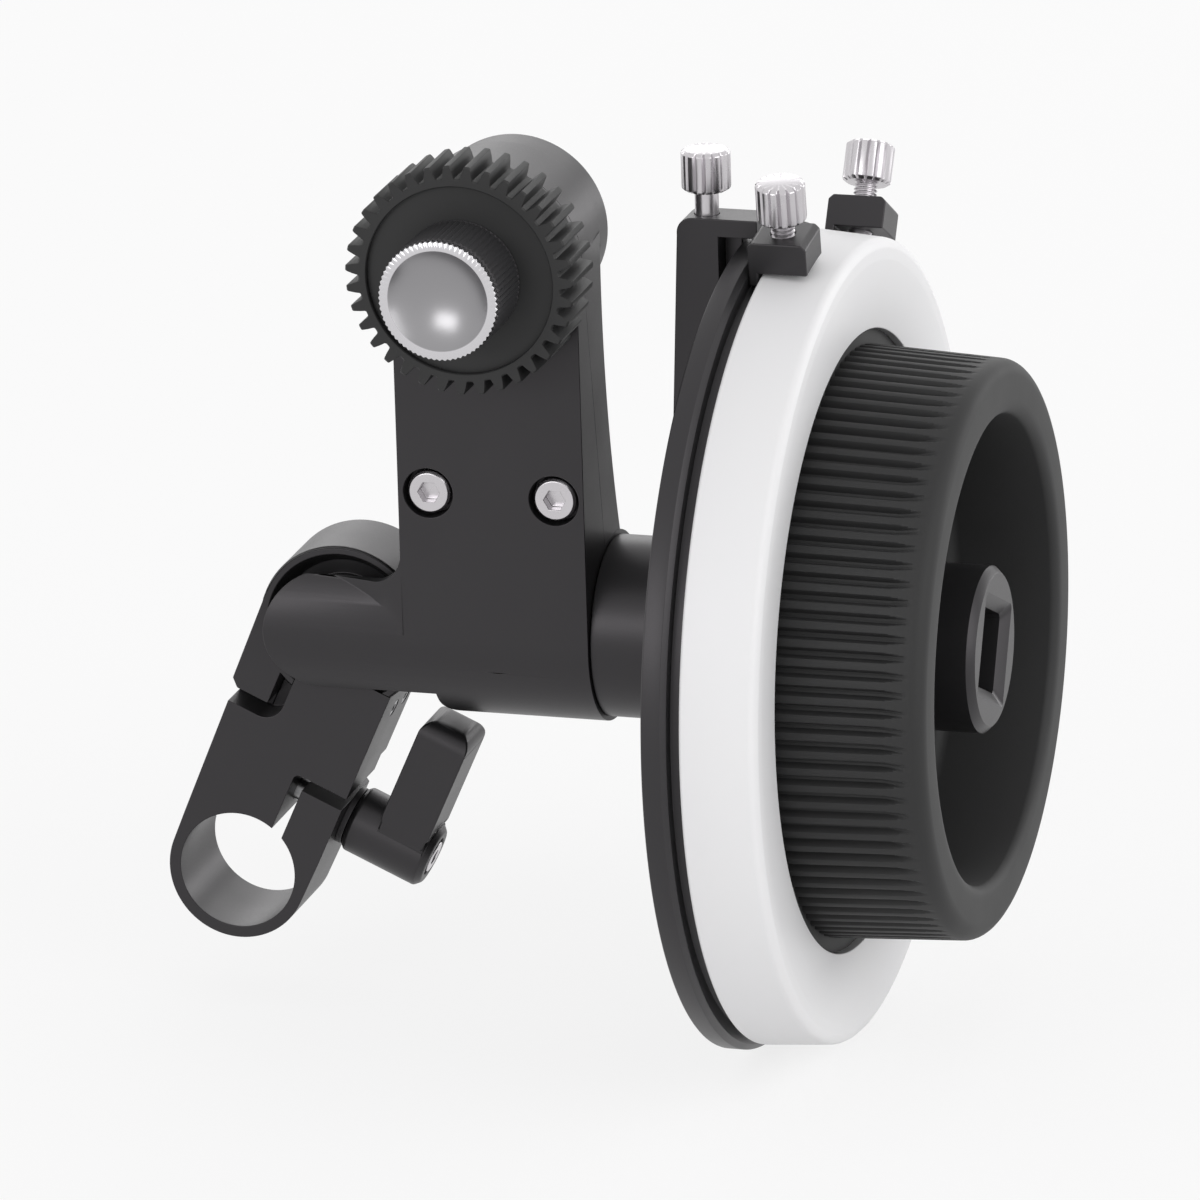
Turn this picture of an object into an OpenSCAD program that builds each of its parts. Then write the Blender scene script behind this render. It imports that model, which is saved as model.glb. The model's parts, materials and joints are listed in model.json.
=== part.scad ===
// Follow focus unit: rod clamp, swing knuckle, gearbox column with drive gear,
// hand wheel with marking disc and hard stops.
// X runs along the hand-wheel axis, Y along the rod, Z up.
// The origin is the middle of the rod bore. The pieces are drawn in the wheel frame,
// whose origin is where the hand-wheel axis crosses the middle of the gear column.

/* [Rod clamp] */
// Diameter of the support rod
rod_d = 15; // [12:0.5:19]
// Running clearance of the rod in the open clamp
rod_clear = 0.1; // [0.05:0.05:0.3]
// Width of the clamp slab across the rod
clamp_w = 18.5; // [16.5:0.1:24]
// Length of the clamp along the rod
clamp_t = 14; // [10:0.5:20]
// Width of the clamping slot
slot_w = 1.6; // [1:0.1:3]
// Distance from the rod to the swing pivot
swing_len = 36.65; // [32:0.05:45]
// Lean of the clamp from the vertical
swing_tilt = 24.35; // [15:0.05:32]

/* [Clamp lever] */
// Diameter of the lever hub
lever_hub_d = 8.8; // [7.5:0.1:11]
// Length of the lever hub along its screw
lever_hub_l = 11.4; // [9:0.1:14]
// Reach of the lever handle from its screw
lever_reach = 18.4; // [15:0.1:20.5]
// Width of the lever handle
lever_w = 6.8; // [5:0.1:7.6]

/* [Gearbox] */
// Width of the gear column
column_w = 24.2; // [22:0.2:27]
// Diameter of the round barrel
barrel_d = 24.2; // [23:0.2:26]
// Length of the barrel to the left of the column middle
barrel_l = 30.7; // [30:0.1:32]
// Diameter of the swing head on the knuckle
head_d = 21.6; // [19.6:0.1:23]
// Diameter of the pivot bolt
pivot_d = 6; // [5:0.5:8]
// Diameter of the wheel collar
collar_d = 23; // [20:0.5:24]

/* [Gear train] */
// Module of the inner gears
train_m = 0.6; // [0.57:0.01:0.62]
// Module of the drive gear
drive_m = 0.8; // [0.4:0.1:0.8]
// Teeth of the drive gear
drive_z = 35; // [30:1:37]
// Face width of the drive gear
drive_t = 8.8; // [6:0.1:12]
// Diameter of the gear knob
knob_d = 15.3; // [13:0.1:17]
// Length of the gear knob in front of the gear
knob_l = 9.6; // [7:0.1:12]

/* [Hand wheel] */
// Diameter of the rear disc
disc_d = 104; // [98:0.5:110]
// Diameter of the marking disc
mark_d = 102.4; // [94:0.2:103]
// Thickness of the marking disc
mark_t = 9.6; // [7:0.1:12]
// Diameter of the grip over its ribs
grip_d = 74.4; // [70:0.2:80]
// Length of the grip
grip_l = 17.9; // [15:0.1:20]
// Number of grip ribs
grip_ribs = 100; // [60:2:120]
// Diameter of the crank hub
hub_d = 21; // [18:0.1:24]
// Side of the square crank socket
socket_w = 10; // [8:0.1:11]

/* [Hard stops] */
// Place of the front stop round the disc, from the top
front_stop_a = 8.2; // [7.7:0.1:12]
// Place of the rear stop round the disc, from the top
rear_stop_a = -31; // [-60:1:-20]
// Width of a stop block along the disc edge
stop_w = 7; // [6:0.1:8]
// Diameter of the thumbscrew heads
thumb_d = 6.2; // [5:0.1:8]
// Length of the thumbscrew heads
thumb_l = 5.2; // [4:0.1:7]

/* [Hidden] */
$fn = 64;
eps = 0.01;
gap = 0.3;            // free gap between pieces of different bodies
fit = 0.05;           // running clearance on a radius
thread_d = 3;         // shank of the small screws

// rod clamp, drawn in its own frame: X' across, W along the slab, origin at the rod
bore_d = rod_d + 2 * rod_clear;
pivot_x = -21.5;
barrel_r = barrel_d / 2;
cut_y = -9.5;                         // rear face of the barrel tongue
clamp_y0 = -8.3;                      // front face of the clamp
clamp_y1 = clamp_y0 + clamp_t;
clamp_ym = (clamp_y0 + clamp_y1) / 2;
half_w = clamp_w / 2;
rod_x = pivot_x - swing_len * sin(swing_tilt);
rod_z = -swing_len * cos(swing_tilt);
head_r = head_d / 2;
slot_x = 1.95;
notch_w0 = 14;
notch_w1 = 15.7;
pocket_w = swing_len - 16.05;         // foot of the pocket under the swing pivot
pocket_x = -2.9;
tongue_x = -4.9;
tongue_y = clamp_y0 + 4.6;
ring_r = half_w - 0.15;               // ring of the clamp round the rod
back_w = half_w + 0.45;               // left half-width at the pocket
skin_w = swing_len - sqrt(head_r * head_r - half_w * half_w);
foot_w = pocket_w + 2.1;              // front foot of the knuckle tongue
lock_w = swing_len - 9.45;            // height of the knuckle screws above the rod
lock_ys = [-1.9, 3.1];
lever_w0 = 10.9;                      // height of the clamp screw above the rod
lever_x0 = half_w + 0.8;              // inner end of the lever hub

// gear train: teeth of the end gears and of the three idlers, from the bottom
end_z = 24;
idler_z = [18, 24, 19];
idler_h = train_m / 2 * [end_z + 18, end_z + 60, end_z + 103];

// gearbox
column_h = train_m * (end_z + 61);    // height of the drive gear over the wheel axis
plate_y = -barrel_r + 0.03;           // front face of the column
seam_slope = 0.15;
seam_y0 = plate_y + 7.6 + 17 * seam_slope;
rear_y = -1.9;                        // rear face of the column at its neck
neck_z = column_h - 5;
boss_y = 3.7;                         // rear face of the top boss
boss_d = 23;
x_end = column_w / 2;
cut_x = -8.9;
screw_dx = 8.2;
screw_z = 19.9;
tongue_r = sqrt(barrel_r * barrel_r - cut_y * cut_y);
gear_y0 = -8.6;                       // gear train, front face
gear_y1 = -5.6;
cav_y0 = -8.95;
cav_y1 = -5.2;
screw_seat = plate_y + 2.7;           // floor under the heads of the cover screws
function tip_r(z, m) = m * (z / 2 + 0.9);
cav_gap = 0.4;                        // room round the gear tips

// drive gear
drive_y1 = plate_y - 1.2;
drive_y0 = drive_y1 - drive_t;
drive_r = drive_m * (drive_z + 2) / 2;

// hand wheel stations along X
x_disc = x_end + 18.5;
disc_t = 2.7;
x_groove = x_disc + disc_t + 0.4;
x_mark = x_groove + 1.5;
x_root = x_mark + mark_t - 0.8;
x_lip = x_root + grip_l;
x_hub = x_lip - 0.55;
disc_r = disc_d / 2;
mark_r = mark_d / 2;
grip_r = grip_d / 2;
root_r = grip_r + 2;                  // hole of the marking disc, clear of the ribs
bowl_r = 29.5;
floor_x = x_root + 3.2;
shaft_r = 4;

// stops and index arm
stop_r0 = mark_r + 0.25;
stop_h = 4;
stop_lifts = [0.25, 1];               // front and rear block clear of the white edge
stop_necks = [1.75, 2.4];
stop_x0 = x_groove + 0.15;
stop_x1 = stop_x0 + 7.5;
index_y0 = -4;
index_y1 = 1;
index_x0 = x_end + 10.6;
index_x1 = index_x0 + 5.4;
index_foot = index_x0 - 1.9;          // left side of the arm at its ring
index_xm = index_x0 + 3.3;            // middle of the index thumbscrew
index_top = disc_r + 3.2;

// colours
anodised = [0.13, 0.13, 0.14];
rubber = [0.08, 0.08, 0.09];
steel = [0.78, 0.78, 0.8];
brass = [0.8, 0.65, 0.3];
white = [0.96, 0.96, 0.97];

// ---- helpers ----------------------------------------------------------
module xz_prism(y0, y1) {
    translate([0, y1, 0]) rotate([90, 0, 0]) linear_extrude(y1 - y0) children();
}
module spin_y() {
    rotate([-90, 0, 0]) rotate_extrude() children();
}
module spin_x() {
    rotate([0, 90, 0]) rotate_extrude() children();
}
module x_cyl(x0, x1, r) {
    translate([x0, 0, 0]) rotate([0, 90, 0]) cylinder(h = x1 - x0, r = r);
}
module y_cyl(y0, y1, r) {
    translate([0, y0, 0]) rotate([-90, 0, 0]) cylinder(h = y1 - y0, r = r);
}
// from the wheel frame, where the pieces are drawn, to the row frame at the rod
module row() {
    translate([-rod_x, -clamp_ym, -rod_z]) children();
}
// the clamp frame: children drawn with X across and Z along the slab
module clamp_frame() {
    translate([rod_x, 0, rod_z]) rotate([0, swing_tilt, 0]) children();
}
// square with rounded corners, from corner a to corner b
module round_box(a, b, r) {
    d = b - a;
    translate(a) union() {
        translate([r, 0]) square([d[0] - 2 * r, d[1]]);
        translate([0, r]) square([d[0], d[1] - 2 * r]);
        for (x = [r, d[0] - r], z = [r, d[1] - r]) translate([x, z]) circle(r);
    }
}
// one straight-sided spur gear outline, teeth = z, module = m
module spur_2d(z, m) {
    pitch = z * m / 2;
    root = pitch - 1.2 * m;
    tip = tip_r(z, m);
    step = 360 / z;
    circle(root);
    for (i = [0:z - 1]) rotate(i * step) polygon([
        [root - 0.2, -0.88 * m], [pitch, -0.7 * m], [tip, -0.32 * m],
        [tip, 0.32 * m], [pitch, 0.7 * m], [root - 0.2, 0.88 * m]]);
}
// disc with n round flutes cut in its edge
module fluted_2d(r, n, flute_r, depth) {
    difference() {
        circle(r);
        for (i = [0:n - 1]) rotate(i * 360 / n) translate([r + flute_r - depth, 0]) circle(flute_r);
    }
}
// one tooth gap of a mitre gear: flanks and floor all run to the apex
module mitre_gap(m, pitch) {
    reach = pitch * sqrt(2) + 2;
    half = 0.47 * m * reach / (pitch * sqrt(2));
    dip = atan(1.1 * m / (pitch * sqrt(2)));
    rotate([0, -45 - dip, 0]) intersection() {
        translate([0, 0, -4 * m]) linear_extrude(4 * m) polygon([[0, 0], [reach, -5], [reach, 5]]);
        rotate([20, 0, 0]) translate([0, 0, -6 * m]) linear_extrude(9 * m)
            polygon([[0, 0], [reach, -5], [reach, half]]);
        rotate([-20, 0, 0]) translate([0, 0, -6 * m]) linear_extrude(9 * m)
            polygon([[0, 0], [reach, -half], [reach, 5]]);
    }
}
// straight mitre gear on the Z axis, apex at the origin, pitch plane at z = pitch
module mitre_gear(z, m, face, bore_r, hub_r, hub_l, phase) {
    pitch = z * m / 2;
    inner = pitch - face;
    add = 0.55 * m;
    add_in = add * inner / pitch;
    difference() {
        rotate_extrude() polygon([
            [bore_r, inner - add_in], [inner + add_in, inner - add_in],
            [pitch + add, pitch - add], [pitch - 0.75 * m, pitch + 0.75 * m],
            [hub_r, pitch + 0.75 * m], [hub_r, pitch + hub_l], [bore_r, pitch + hub_l]]);
        for (i = [0:z - 1]) rotate((i + phase) * 360 / z) mitre_gap(m, pitch);
    }
}

// ---- rod clamp --------------------------------------------------------
module clamp_outline() {
    difference() {
        union() {
            circle(ring_r);
            polygon([[-ring_r, 0], [ring_r, 0], [half_w, 6], [half_w, swing_len],
                [-back_w, swing_len], [-back_w, pocket_w], [-half_w, 4]]);
        }
        circle(bore_d / 2);
        translate([slot_x, 0]) square([slot_w, notch_w1 - 1.5]);
        round_box([slot_x, notch_w0], [half_w + 4, notch_w1], 0.8);
        translate([slot_x, notch_w0 - 1]) square([slot_w, 1.8]);
    }
}
module rod_clamp_bracket() {
    color(anodised) row() clamp_frame() difference() {
        xz_prism(clamp_y0, clamp_y1) clamp_outline();
        // seat of the swing head behind a front skin
        xz_prism(tongue_y, clamp_y1 + 1) translate([0, swing_len]) circle(head_r + 0.02);
        xz_prism(clamp_y0 - 1, tongue_y + eps) translate([-20, skin_w]) square([40, 20]);
        // pocket for the knuckle tongue: shallow front step and full-depth seat
        xz_prism(clamp_y0 - 1, tongue_y)
            round_box([-half_w - 6, pocket_w], [pocket_x, swing_len + 12], 2.6);
        xz_prism(tongue_y - eps, clamp_y1 + 1)
            translate([-half_w - 3, pocket_w]) square([half_w + 3 + tongue_x, swing_len]);
        // lower rear corner bevel
        translate([half_w, clamp_y1, 3]) rotate([0, 0, 45]) cube([3, 3, 30], center = true);
        // clamp screw hole through the lug and blind into the slab
        translate([0, clamp_ym, lever_w0]) {
            x_cyl(slot_x, half_w + 2, thread_d / 2 + 0.15);
            x_cyl(-4.5, slot_x + eps, thread_d / 2 + fit);
        }
        // knuckle screw holes in the right side
        for (y = lock_ys) translate([0, y, lock_w]) {
            x_cyl(4, half_w + 1, 0.8);
            x_cyl(half_w - 1.2, half_w + 1, 1.2);
        }
    }
}
module swing_knuckle() {
    color(anodised) row() clamp_frame() difference() {
        union() {
            translate([0, 0, swing_len]) spin_y() polygon([[0, cut_y + 0.1], [6.5, cut_y + 0.1],
                [6.5, clamp_y0 + 1], [head_r - 0.3, clamp_y0 + 1], [head_r - 0.3, clamp_y0],
                [head_r, clamp_y0 + 0.3], [head_r, clamp_y1 - 2.7], [head_r - 1.5, clamp_y1], [0, clamp_y1]]);
            translate([0, 0, swing_len]) spin_y() translate([7, clamp_y0]) square([head_r - 7.2, 2]);
            // tongue: long foot behind, shorter foot in front of it
            xz_prism(clamp_y0, clamp_y1) polygon([[-half_w - 0.05, foot_w], [tongue_x - 0.02, foot_w],
                [tongue_x - 0.02, swing_len], [-head_r + 0.15, swing_len], [-half_w - 1.05, foot_w + 1]]);
            xz_prism(tongue_y, clamp_y1) translate([-back_w, pocket_w + 0.02])
                square([back_w + tongue_x - 0.02, 6]);
        }
        // dished ring round the pivot, and the front skin of the bracket
        translate([0, 0, swing_len]) spin_y() polygon([[6.5, clamp_y0 - 0.02], [9.8, clamp_y0 - 0.02],
            [8.4, clamp_y0 + 2.5], [6.5, clamp_y0 + 2.5]]);
        xz_prism(clamp_y0, tongue_y + 0.02) translate([pocket_x - 0.02, 0])
            square([20, skin_w + 0.02]);
        translate([0, 0, swing_len]) {
            y_cyl(cut_y - 1, clamp_y1 + 1, pivot_d / 2 + fit);
            y_cyl(clamp_y1 - 3.2, clamp_y1 + 1, 6.05);
        }
        for (y = lock_ys) translate([0, y, lock_w]) x_cyl(0.5, head_r, 0.8);
    }
}
module knuckle_screws() {
    color(steel) row() clamp_frame() for (y = lock_ys) translate([0, y, lock_w]) difference() {
        union() {
            x_cyl(1, half_w - 1.2 + eps, 0.8);
            x_cyl(half_w - 1.2, half_w - 0.1, 1.2);
        }
        translate([half_w - 0.6, 0, 0]) rotate([0, 90, 0]) cylinder(h = 2, r = 0.6, $fn = 6);
    }
}
module clamp_washer() {
    color(anodised) row() clamp_frame() translate([0, clamp_ym, lever_w0]) difference() {
        x_cyl(half_w, lever_x0, lever_hub_d / 2 - 0.5);
        x_cyl(half_w - 1, lever_x0 + 1, thread_d / 2 + 0.15);
    }
}
module clamp_screw() {
    color(steel) row() clamp_frame() translate([0, clamp_ym, lever_w0]) difference() {
        union() {
            x_cyl(-4, slot_x, thread_d / 2);
            x_cyl(slot_x - eps, lever_x0 + 6, thread_d / 2);
        }
        x_cyl(lever_x0 + 2, lever_x0 + 7, 0.8);
    }
}
module clamp_lever() {
    color(anodised) row() clamp_frame() translate([0, clamp_ym, lever_w0]) {
        x0 = lever_x0 + 0.02;
        x1 = lever_x0 + lever_hub_l;
        hx = x1 - lever_w - 0.85;
        r = lever_hub_d / 2;
        difference() {
            union() {
                translate([x0, 0, 0]) rotate([0, 90, 0]) rotate_extrude()
                    polygon([[0, 0], [r - 0.6, 0], [r, 0.6], [r, lever_hub_l - 0.8],
                        [r - 0.8, lever_hub_l], [0, lever_hub_l]]);
                intersection() {
                    xz_prism(-r, r) union() {
                        round_box([hx, 2], [hx + lever_w, lever_reach], 2);
                        translate([hx + 0.3, -r]) square([lever_w - 0.6, r + 4]);
                    }
                    rotate([90, 0, 90]) linear_extrude(60) union() {
                        round_box([-r + 0.1, 0], [r - 0.1, lever_reach], 2.4);
                        circle(r);
                    }
                }
            }
            x_cyl(x0 - 1, lever_x0 + 6.02, thread_d / 2);
            x_cyl(lever_x0 + 6, x1 + 1, 0.82);
            x_cyl(x1 - 1.6, x1 + 1, 2.6);
        }
    }
}
module lever_end_screw() {
    color(steel) row() clamp_frame() translate([0, clamp_ym, lever_w0]) difference() {
        x1 = lever_x0 + lever_hub_l;
        union() {
            x_cyl(lever_x0 + 2.2, x1 - 1.6 + eps, 0.8);
            x_cyl(x1 - 1.6, x1 - 0.3, 2.5);
            x_cyl(x1 - 0.3 - eps, x1 + 0.1, 2.1);
        }
        translate([x1 - 0.9, 0, 0]) rotate([0, 90, 0]) cylinder(h = 3, r = 1.1, $fn = 6);
    }
}

// ---- swing pivot ------------------------------------------------------
module pivot_bolt() {
    color(steel) row() translate([pivot_x, 0, 0]) difference() {
        union() {
            y_cyl(plate_y + 1, clamp_y1 - 2, pivot_d / 2);
            y_cyl(clamp_y1 - 2.4, clamp_y1 + 0.4, 5);
        }
        translate([0, clamp_y1 - 1.6, 0]) rotate([-90, 0, 0]) cylinder(h = 3, r = 2.3, $fn = 6);
    }
}
module pivot_washer() {
    color(steel) row() translate([pivot_x, 0, 0]) difference() {
        y_cyl(clamp_y1 - 3.2, clamp_y1 - 2.4, 5.6);
        y_cyl(clamp_y1 - 4, clamp_y1, pivot_d / 2 + fit);
    }
}

// ---- gearbox ----------------------------------------------------------
// side view of the column: y to the right, z up
module column_side() {
    big_r = 120;
    difference() {
        translate([plate_y, 0]) square([barrel_r + 14, column_h + 1]);
        translate([rear_y + big_r, neck_z]) circle(big_r, $fn = 200);
    }
}
// the whole column as a solid: front outline times side outline, with the top boss
module column_solid() {
    intersection() {
        xz_prism(plate_y, barrel_r + 2) translate([-x_end, 0]) square([column_w, column_h]);
        translate([-x_end, 0, 0]) rotate([90, 0, 90]) linear_extrude(column_w) column_side();
    }
    translate([0, 0, column_h]) {
        y_cyl(plate_y, rear_y + 0.12, x_end);
        y_cyl(rear_y - 1, boss_y, boss_d / 2);
    }
}
// everything in front of the leaning seam
module seam_front() {
    y0 = seam_y0;
    y1 = seam_y0 - seam_slope * 80;
    translate([-40, 0, 0]) rotate([90, 0, 90]) linear_extrude(80)
        polygon([[-30, -30], [y0 + 30 * seam_slope, -30], [y1, 80], [-30, 80]]);
}
// room of the gear train, back to y1
module gear_cavity(y1) {
    xz_prism(cav_y0, y1) union() {
        for (h = [0, column_h]) translate([0, h]) circle(tip_r(end_z, train_m) + cav_gap);
        for (i = [0:2]) translate([0, idler_h[i]]) circle(tip_r(idler_z[i], train_m) + cav_gap);
        translate([-4.4, 0]) square([8.8, column_h]);
    }
}
// room for the swing head behind the barrel tongue
module knuckle_room() {
    xz_prism(cut_y, 30) union() {
        translate([-40, -30]) square([40 + cut_x, 30]);
        round_box([-40, -10], [cut_x, max(head_r, barrel_r) + 1], 2);
    }
}
module cover_screw_holes() {
    for (x = [-screw_dx, screw_dx]) translate([x, 0, screw_z]) {
        y_cyl(plate_y - 1, -1, thread_d / 2 - eps);
        y_cyl(plate_y - 1, screw_seat, 3.25);
    }
}
module barrel_solid() {
    intersection() {
        x_cyl(-barrel_l, x_end, barrel_r);
        union() {
            xz_prism(-20, 20) round_box([cut_x, -barrel_r - 0.3], [x_end + 20, barrel_r + 20], 3.8);
            xz_prism(-20, cut_y) union() {
                translate([-barrel_l + tongue_r + 0.4, 0]) circle(tongue_r + 0.4);
                translate([-barrel_l + tongue_r + 0.4, -20]) square([barrel_l, 40]);
            }
        }
    }
}
module gearbox_body() {
    color(anodised) row() difference() {
        union() {
            barrel_solid();
            intersection() {
                column_solid();
                seam_front();
                translate([-20, -20, 0]) cube([40, 40, 90]);
            }
            // blend of the column into the barrel tongue, fading out to the left
            intersection() {
                xz_prism(plate_y, cut_y) union() {
                    translate([-x_end - 9.7, 0]) square([9.8, tongue_r - 0.1]);
                    difference() {
                        translate([-x_end - 4.6, 6]) square([4.7, tongue_r - 1.6]);
                        translate([-x_end - 4.6, tongue_r + 4.4]) circle(4.6);
                    }
                }
                linear_extrude(14) polygon([[-x_end + 0.1, plate_y], [-x_end - 9.7, cut_y],
                    [-x_end + 0.1, cut_y]]);
            }
        }
        gear_cavity(cav_y1 + 1.6);
        knuckle_room();
        // room of the mitre gears and the bearing seat of the wheel shaft
        x_cyl(-5.6, 9, 7.2);
        x_cyl(8, x_end + 1, 7);
        // bush seats of the cross shaft
        y_cyl(-11.6, -8, 3.5);
        y_cyl(0, 11.4, 3.5);
        // seat of the pivot bolt
        translate([pivot_x, 0, 0]) y_cyl(plate_y + 0.9, 0, pivot_d / 2);
        // front bearing seat of the drive shaft and the idler pin seats
        translate([0, 0, column_h]) y_cyl(plate_y - 1, cav_y0 + 1, 5);
        for (z = idler_h) translate([0, 0, z]) y_cyl(cav_y0 - 1, 0, 1.25);
        cover_screw_holes();
    }
}
module gearbox_rear_cover() {
    color(anodised) row() difference() {
        column_solid();
        seam_front();
        x_cyl(-30, 30, barrel_r);
        gear_cavity(cav_y1);
        knuckle_room();
        translate([0, 0, column_h]) {
            y_cyl(cav_y0, 2.2, 5);
            y_cyl(plate_y, cav_y0 + 1, 5);
        }
        for (z = idler_h) translate([0, 0, z]) y_cyl(cav_y0, cav_y1 + 2.5, 1.25);
        cover_screw_holes();
    }
}
module cover_screws() {
    color(steel) row() for (x = [-screw_dx, screw_dx]) translate([x, 0, screw_z]) difference() {
        union() {
            y_cyl(screw_seat - eps, -1.2, thread_d / 2 - eps);
            spin_y() polygon([[0, plate_y + 0.25], [2.45, plate_y + 0.25], [2.8, plate_y + 0.6],
                [2.8, screw_seat], [0, screw_seat]]);
        }
        translate([0, plate_y - 1, 0]) rotate([-90, 0, 0]) cylinder(h = 2.7, r = 1.45, $fn = 6);
    }
}
module wheel_collar() {
    color(anodised) row() difference() {
        x_cyl(x_end, x_disc - gap, collar_d / 2);
        x_cyl(x_end - 1, x_disc, 7);
    }
}

// ---- drive train ------------------------------------------------------
module cross_shaft() {
    color(steel) row() difference() {
        y_cyl(-11.4, 11.2, 2);
        for (y = [-12, 11]) translate([0, y, 0]) rotate([-90, 0, 0]) cylinder(h = 0.8, r = 0.6);
    }
}
module cross_shaft_bushings() {
    color(brass) row() for (y = [-11.6, 8.6]) difference() {
        y_cyl(y, y + 2.6, 3.5);
        y_cyl(y - 1, y + 4, 2 + fit);
    }
}
module cross_bevel_gear() {
    color(steel) row() rotate([-90, 0, 0]) mitre_gear(16, 0.6, 2.2, 2, 3.2, 3.6, 0);
}
module wheel_bevel_gear() {
    color(steel) row() rotate([0, 90, 0]) mitre_gear(16, 0.6, 2.2, 1.9, 3.4, 2.6, 0.5);
}
module train_gear(z, bore_r, phase) {
    xz_prism(gear_y0, gear_y1) difference() {
        rotate(phase) spur_2d(z, train_m);
        circle(bore_r);
    }
}
// phase that puts a tooth (0) or a gap (1) straight up or down
function up_phase(z, is_gap) = 90 + is_gap * 180 / z;
module cross_spur_gear() {
    color(steel) row() train_gear(end_z, 2, up_phase(end_z, 0));
}
module lower_idler_gear() {
    color(brass) row() translate([0, 0, idler_h[0]]) train_gear(idler_z[0], 1.25 + fit, up_phase(idler_z[0], 1));
}
module middle_idler_gear() {
    color(brass) row() translate([0, 0, idler_h[1]]) train_gear(idler_z[1], 1.25 + fit, up_phase(idler_z[1], 0));
}
module upper_idler_gear() {
    color(brass) row() translate([0, 0, idler_h[2]]) train_gear(idler_z[2], 1.25 + fit, up_phase(idler_z[2], 0));
}
module output_spur_gear() {
    color(steel) row() translate([0, 0, column_h]) train_gear(end_z, 2.5, up_phase(end_z, 1));
}
module idler_pins() {
    color(steel) row() for (z = idler_h) translate([0, 0, z]) {
        y_cyl(cav_y0 - 0.9, cav_y1 + 2.4, 1.25);
        y_cyl(gear_y1 + 0.1, cav_y1, 2);
    }
}
module wheel_shaft() {
    color(steel) row() union() {
        x_cyl(2.5, 7.4, 1.9);
        x_cyl(7.4, x_hub - 9, shaft_r);
    }
}
module wheel_bearings() {
    color(steel) row() for (x = [x_end - 2.4, x_disc - 6]) difference() {
        x_cyl(x, x + 4, 7);
        x_cyl(x - 1, x + 5, shaft_r + fit);
        for (f = [x - eps, x + 3.5]) difference() {
            x_cyl(f, f + 0.5 + eps, 6);
            x_cyl(f - 1, f + 2, 5);
        }
    }
}
module bearing_spacer() {
    color(steel) row() difference() {
        x_cyl(x_end + 1.6, x_disc - 6, 6.6);
        x_cyl(x_end, x_disc, 5.4);
    }
}
module output_shaft() {
    color(steel) row() translate([0, 0, column_h]) difference() {
        union() {
            y_cyl(drive_y0 - 3, 2, 2.5);
            y_cyl(drive_y1, plate_y - 0.1, 3.6);
        }
        for (y = [drive_y0 - 4, 1.4]) translate([0, y, 0]) rotate([-90, 0, 0]) cylinder(h = 1.8, r = 0.8);
    }
}
module output_bearings() {
    color(steel) row() translate([0, 0, column_h]) for (y = [plate_y, -0.4]) difference() {
        y_cyl(y, y + 2.6, 5);
        y_cyl(y - 1, y + 4, 2.5 + fit);
        for (f = [y - eps, y + 2.2]) difference() {
            y_cyl(f, f + 0.4 + eps, 4.3);
            y_cyl(f - 1, f + 2, 3.6);
        }
    }
}

// ---- drive gear and knob ----------------------------------------------
module drive_gear() {
    color(rubber) row() translate([0, 0, column_h]) difference() {
        union() {
            xz_prism(drive_y0, drive_y1) rotate(1.8) spur_2d(drive_z, drive_m);
        }
        translate([0, drive_y0 + 0.8, 0]) rotate([90, 0, 0]) cylinder(h = 2, r = 12);
        y_cyl(drive_y0 - 1, drive_y1 + 1, 2.5);
    }
}
module gear_knob() {
    color(anodised) row() translate([0, 0, column_h]) {
        y0 = drive_y0 - knob_l + 0.8;
        difference() {
            union() {
                xz_prism(y0 + 1.3, drive_y0 + 0.8) fluted_2d(knob_d / 2, 60, 0.3, 0.25);
                y_cyl(y0 + 0.8, y0 + 1.3 + eps, knob_d / 2 - 0.35);
            }
            y_cyl(drive_y0 - 3.2, drive_y0 + 1, 2.5 + fit);
            y_cyl(y0, y0 + 3.4, 6.2);
        }
    }
}
module gear_knob_cap() {
    color(steel) row() translate([0, 0, column_h]) {
        y0 = drive_y0 - knob_l + 0.8;
        r = knob_d / 2;
        difference() {
            spin_y() polygon([[0, y0], [r - 0.35, y0], [r, y0 + 0.3], [r, y0 + 0.8],
                [6.2, y0 + 0.8], [6.2, y0 + 3.4], [0, y0 + 3.4]]);
            translate([0, y0 - 7.2, 0]) rotate([-90, 0, 0]) rotate_extrude() difference() {
                circle(9.6);
                translate([-20, -20]) square([20, 40]);
            }
        }
    }
}

// ---- hand wheel -------------------------------------------------------
module rear_disc() {
    color(anodised) row() difference() {
        spin_x() polygon([[shaft_r, x_disc], [disc_r - 0.3, x_disc], [disc_r, x_disc + 0.3],
            [disc_r, x_groove - 0.5], [disc_r - 0.5, x_groove], [mark_r - 1.7, x_groove],
            [mark_r - 1.7, x_mark], [shaft_r, x_mark]]);
        for (a = [90:120:330]) rotate([a, 0, 0]) translate([0, 0, 15])
            x_cyl(x_disc - 1, x_mark + 1, thread_d / 2);
    }
}
module marking_disc() {
    x1 = x_mark + mark_t;
    color(white) row() spin_x() difference() {
        polygon([[20, x_mark], [mark_r - 0.4, x_mark], [mark_r, x_mark + 0.4],
            [mark_r - 0.6, x1 - 1], [mark_r - 1.6, x1], [mark_r - 3.2, x1],
            [mark_r - 4.2, x1 - 0.5], [root_r, x1 - 0.8], [root_r, x_root - 1.4],
            [20, x_root - 1.4]]);
    }
}
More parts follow.
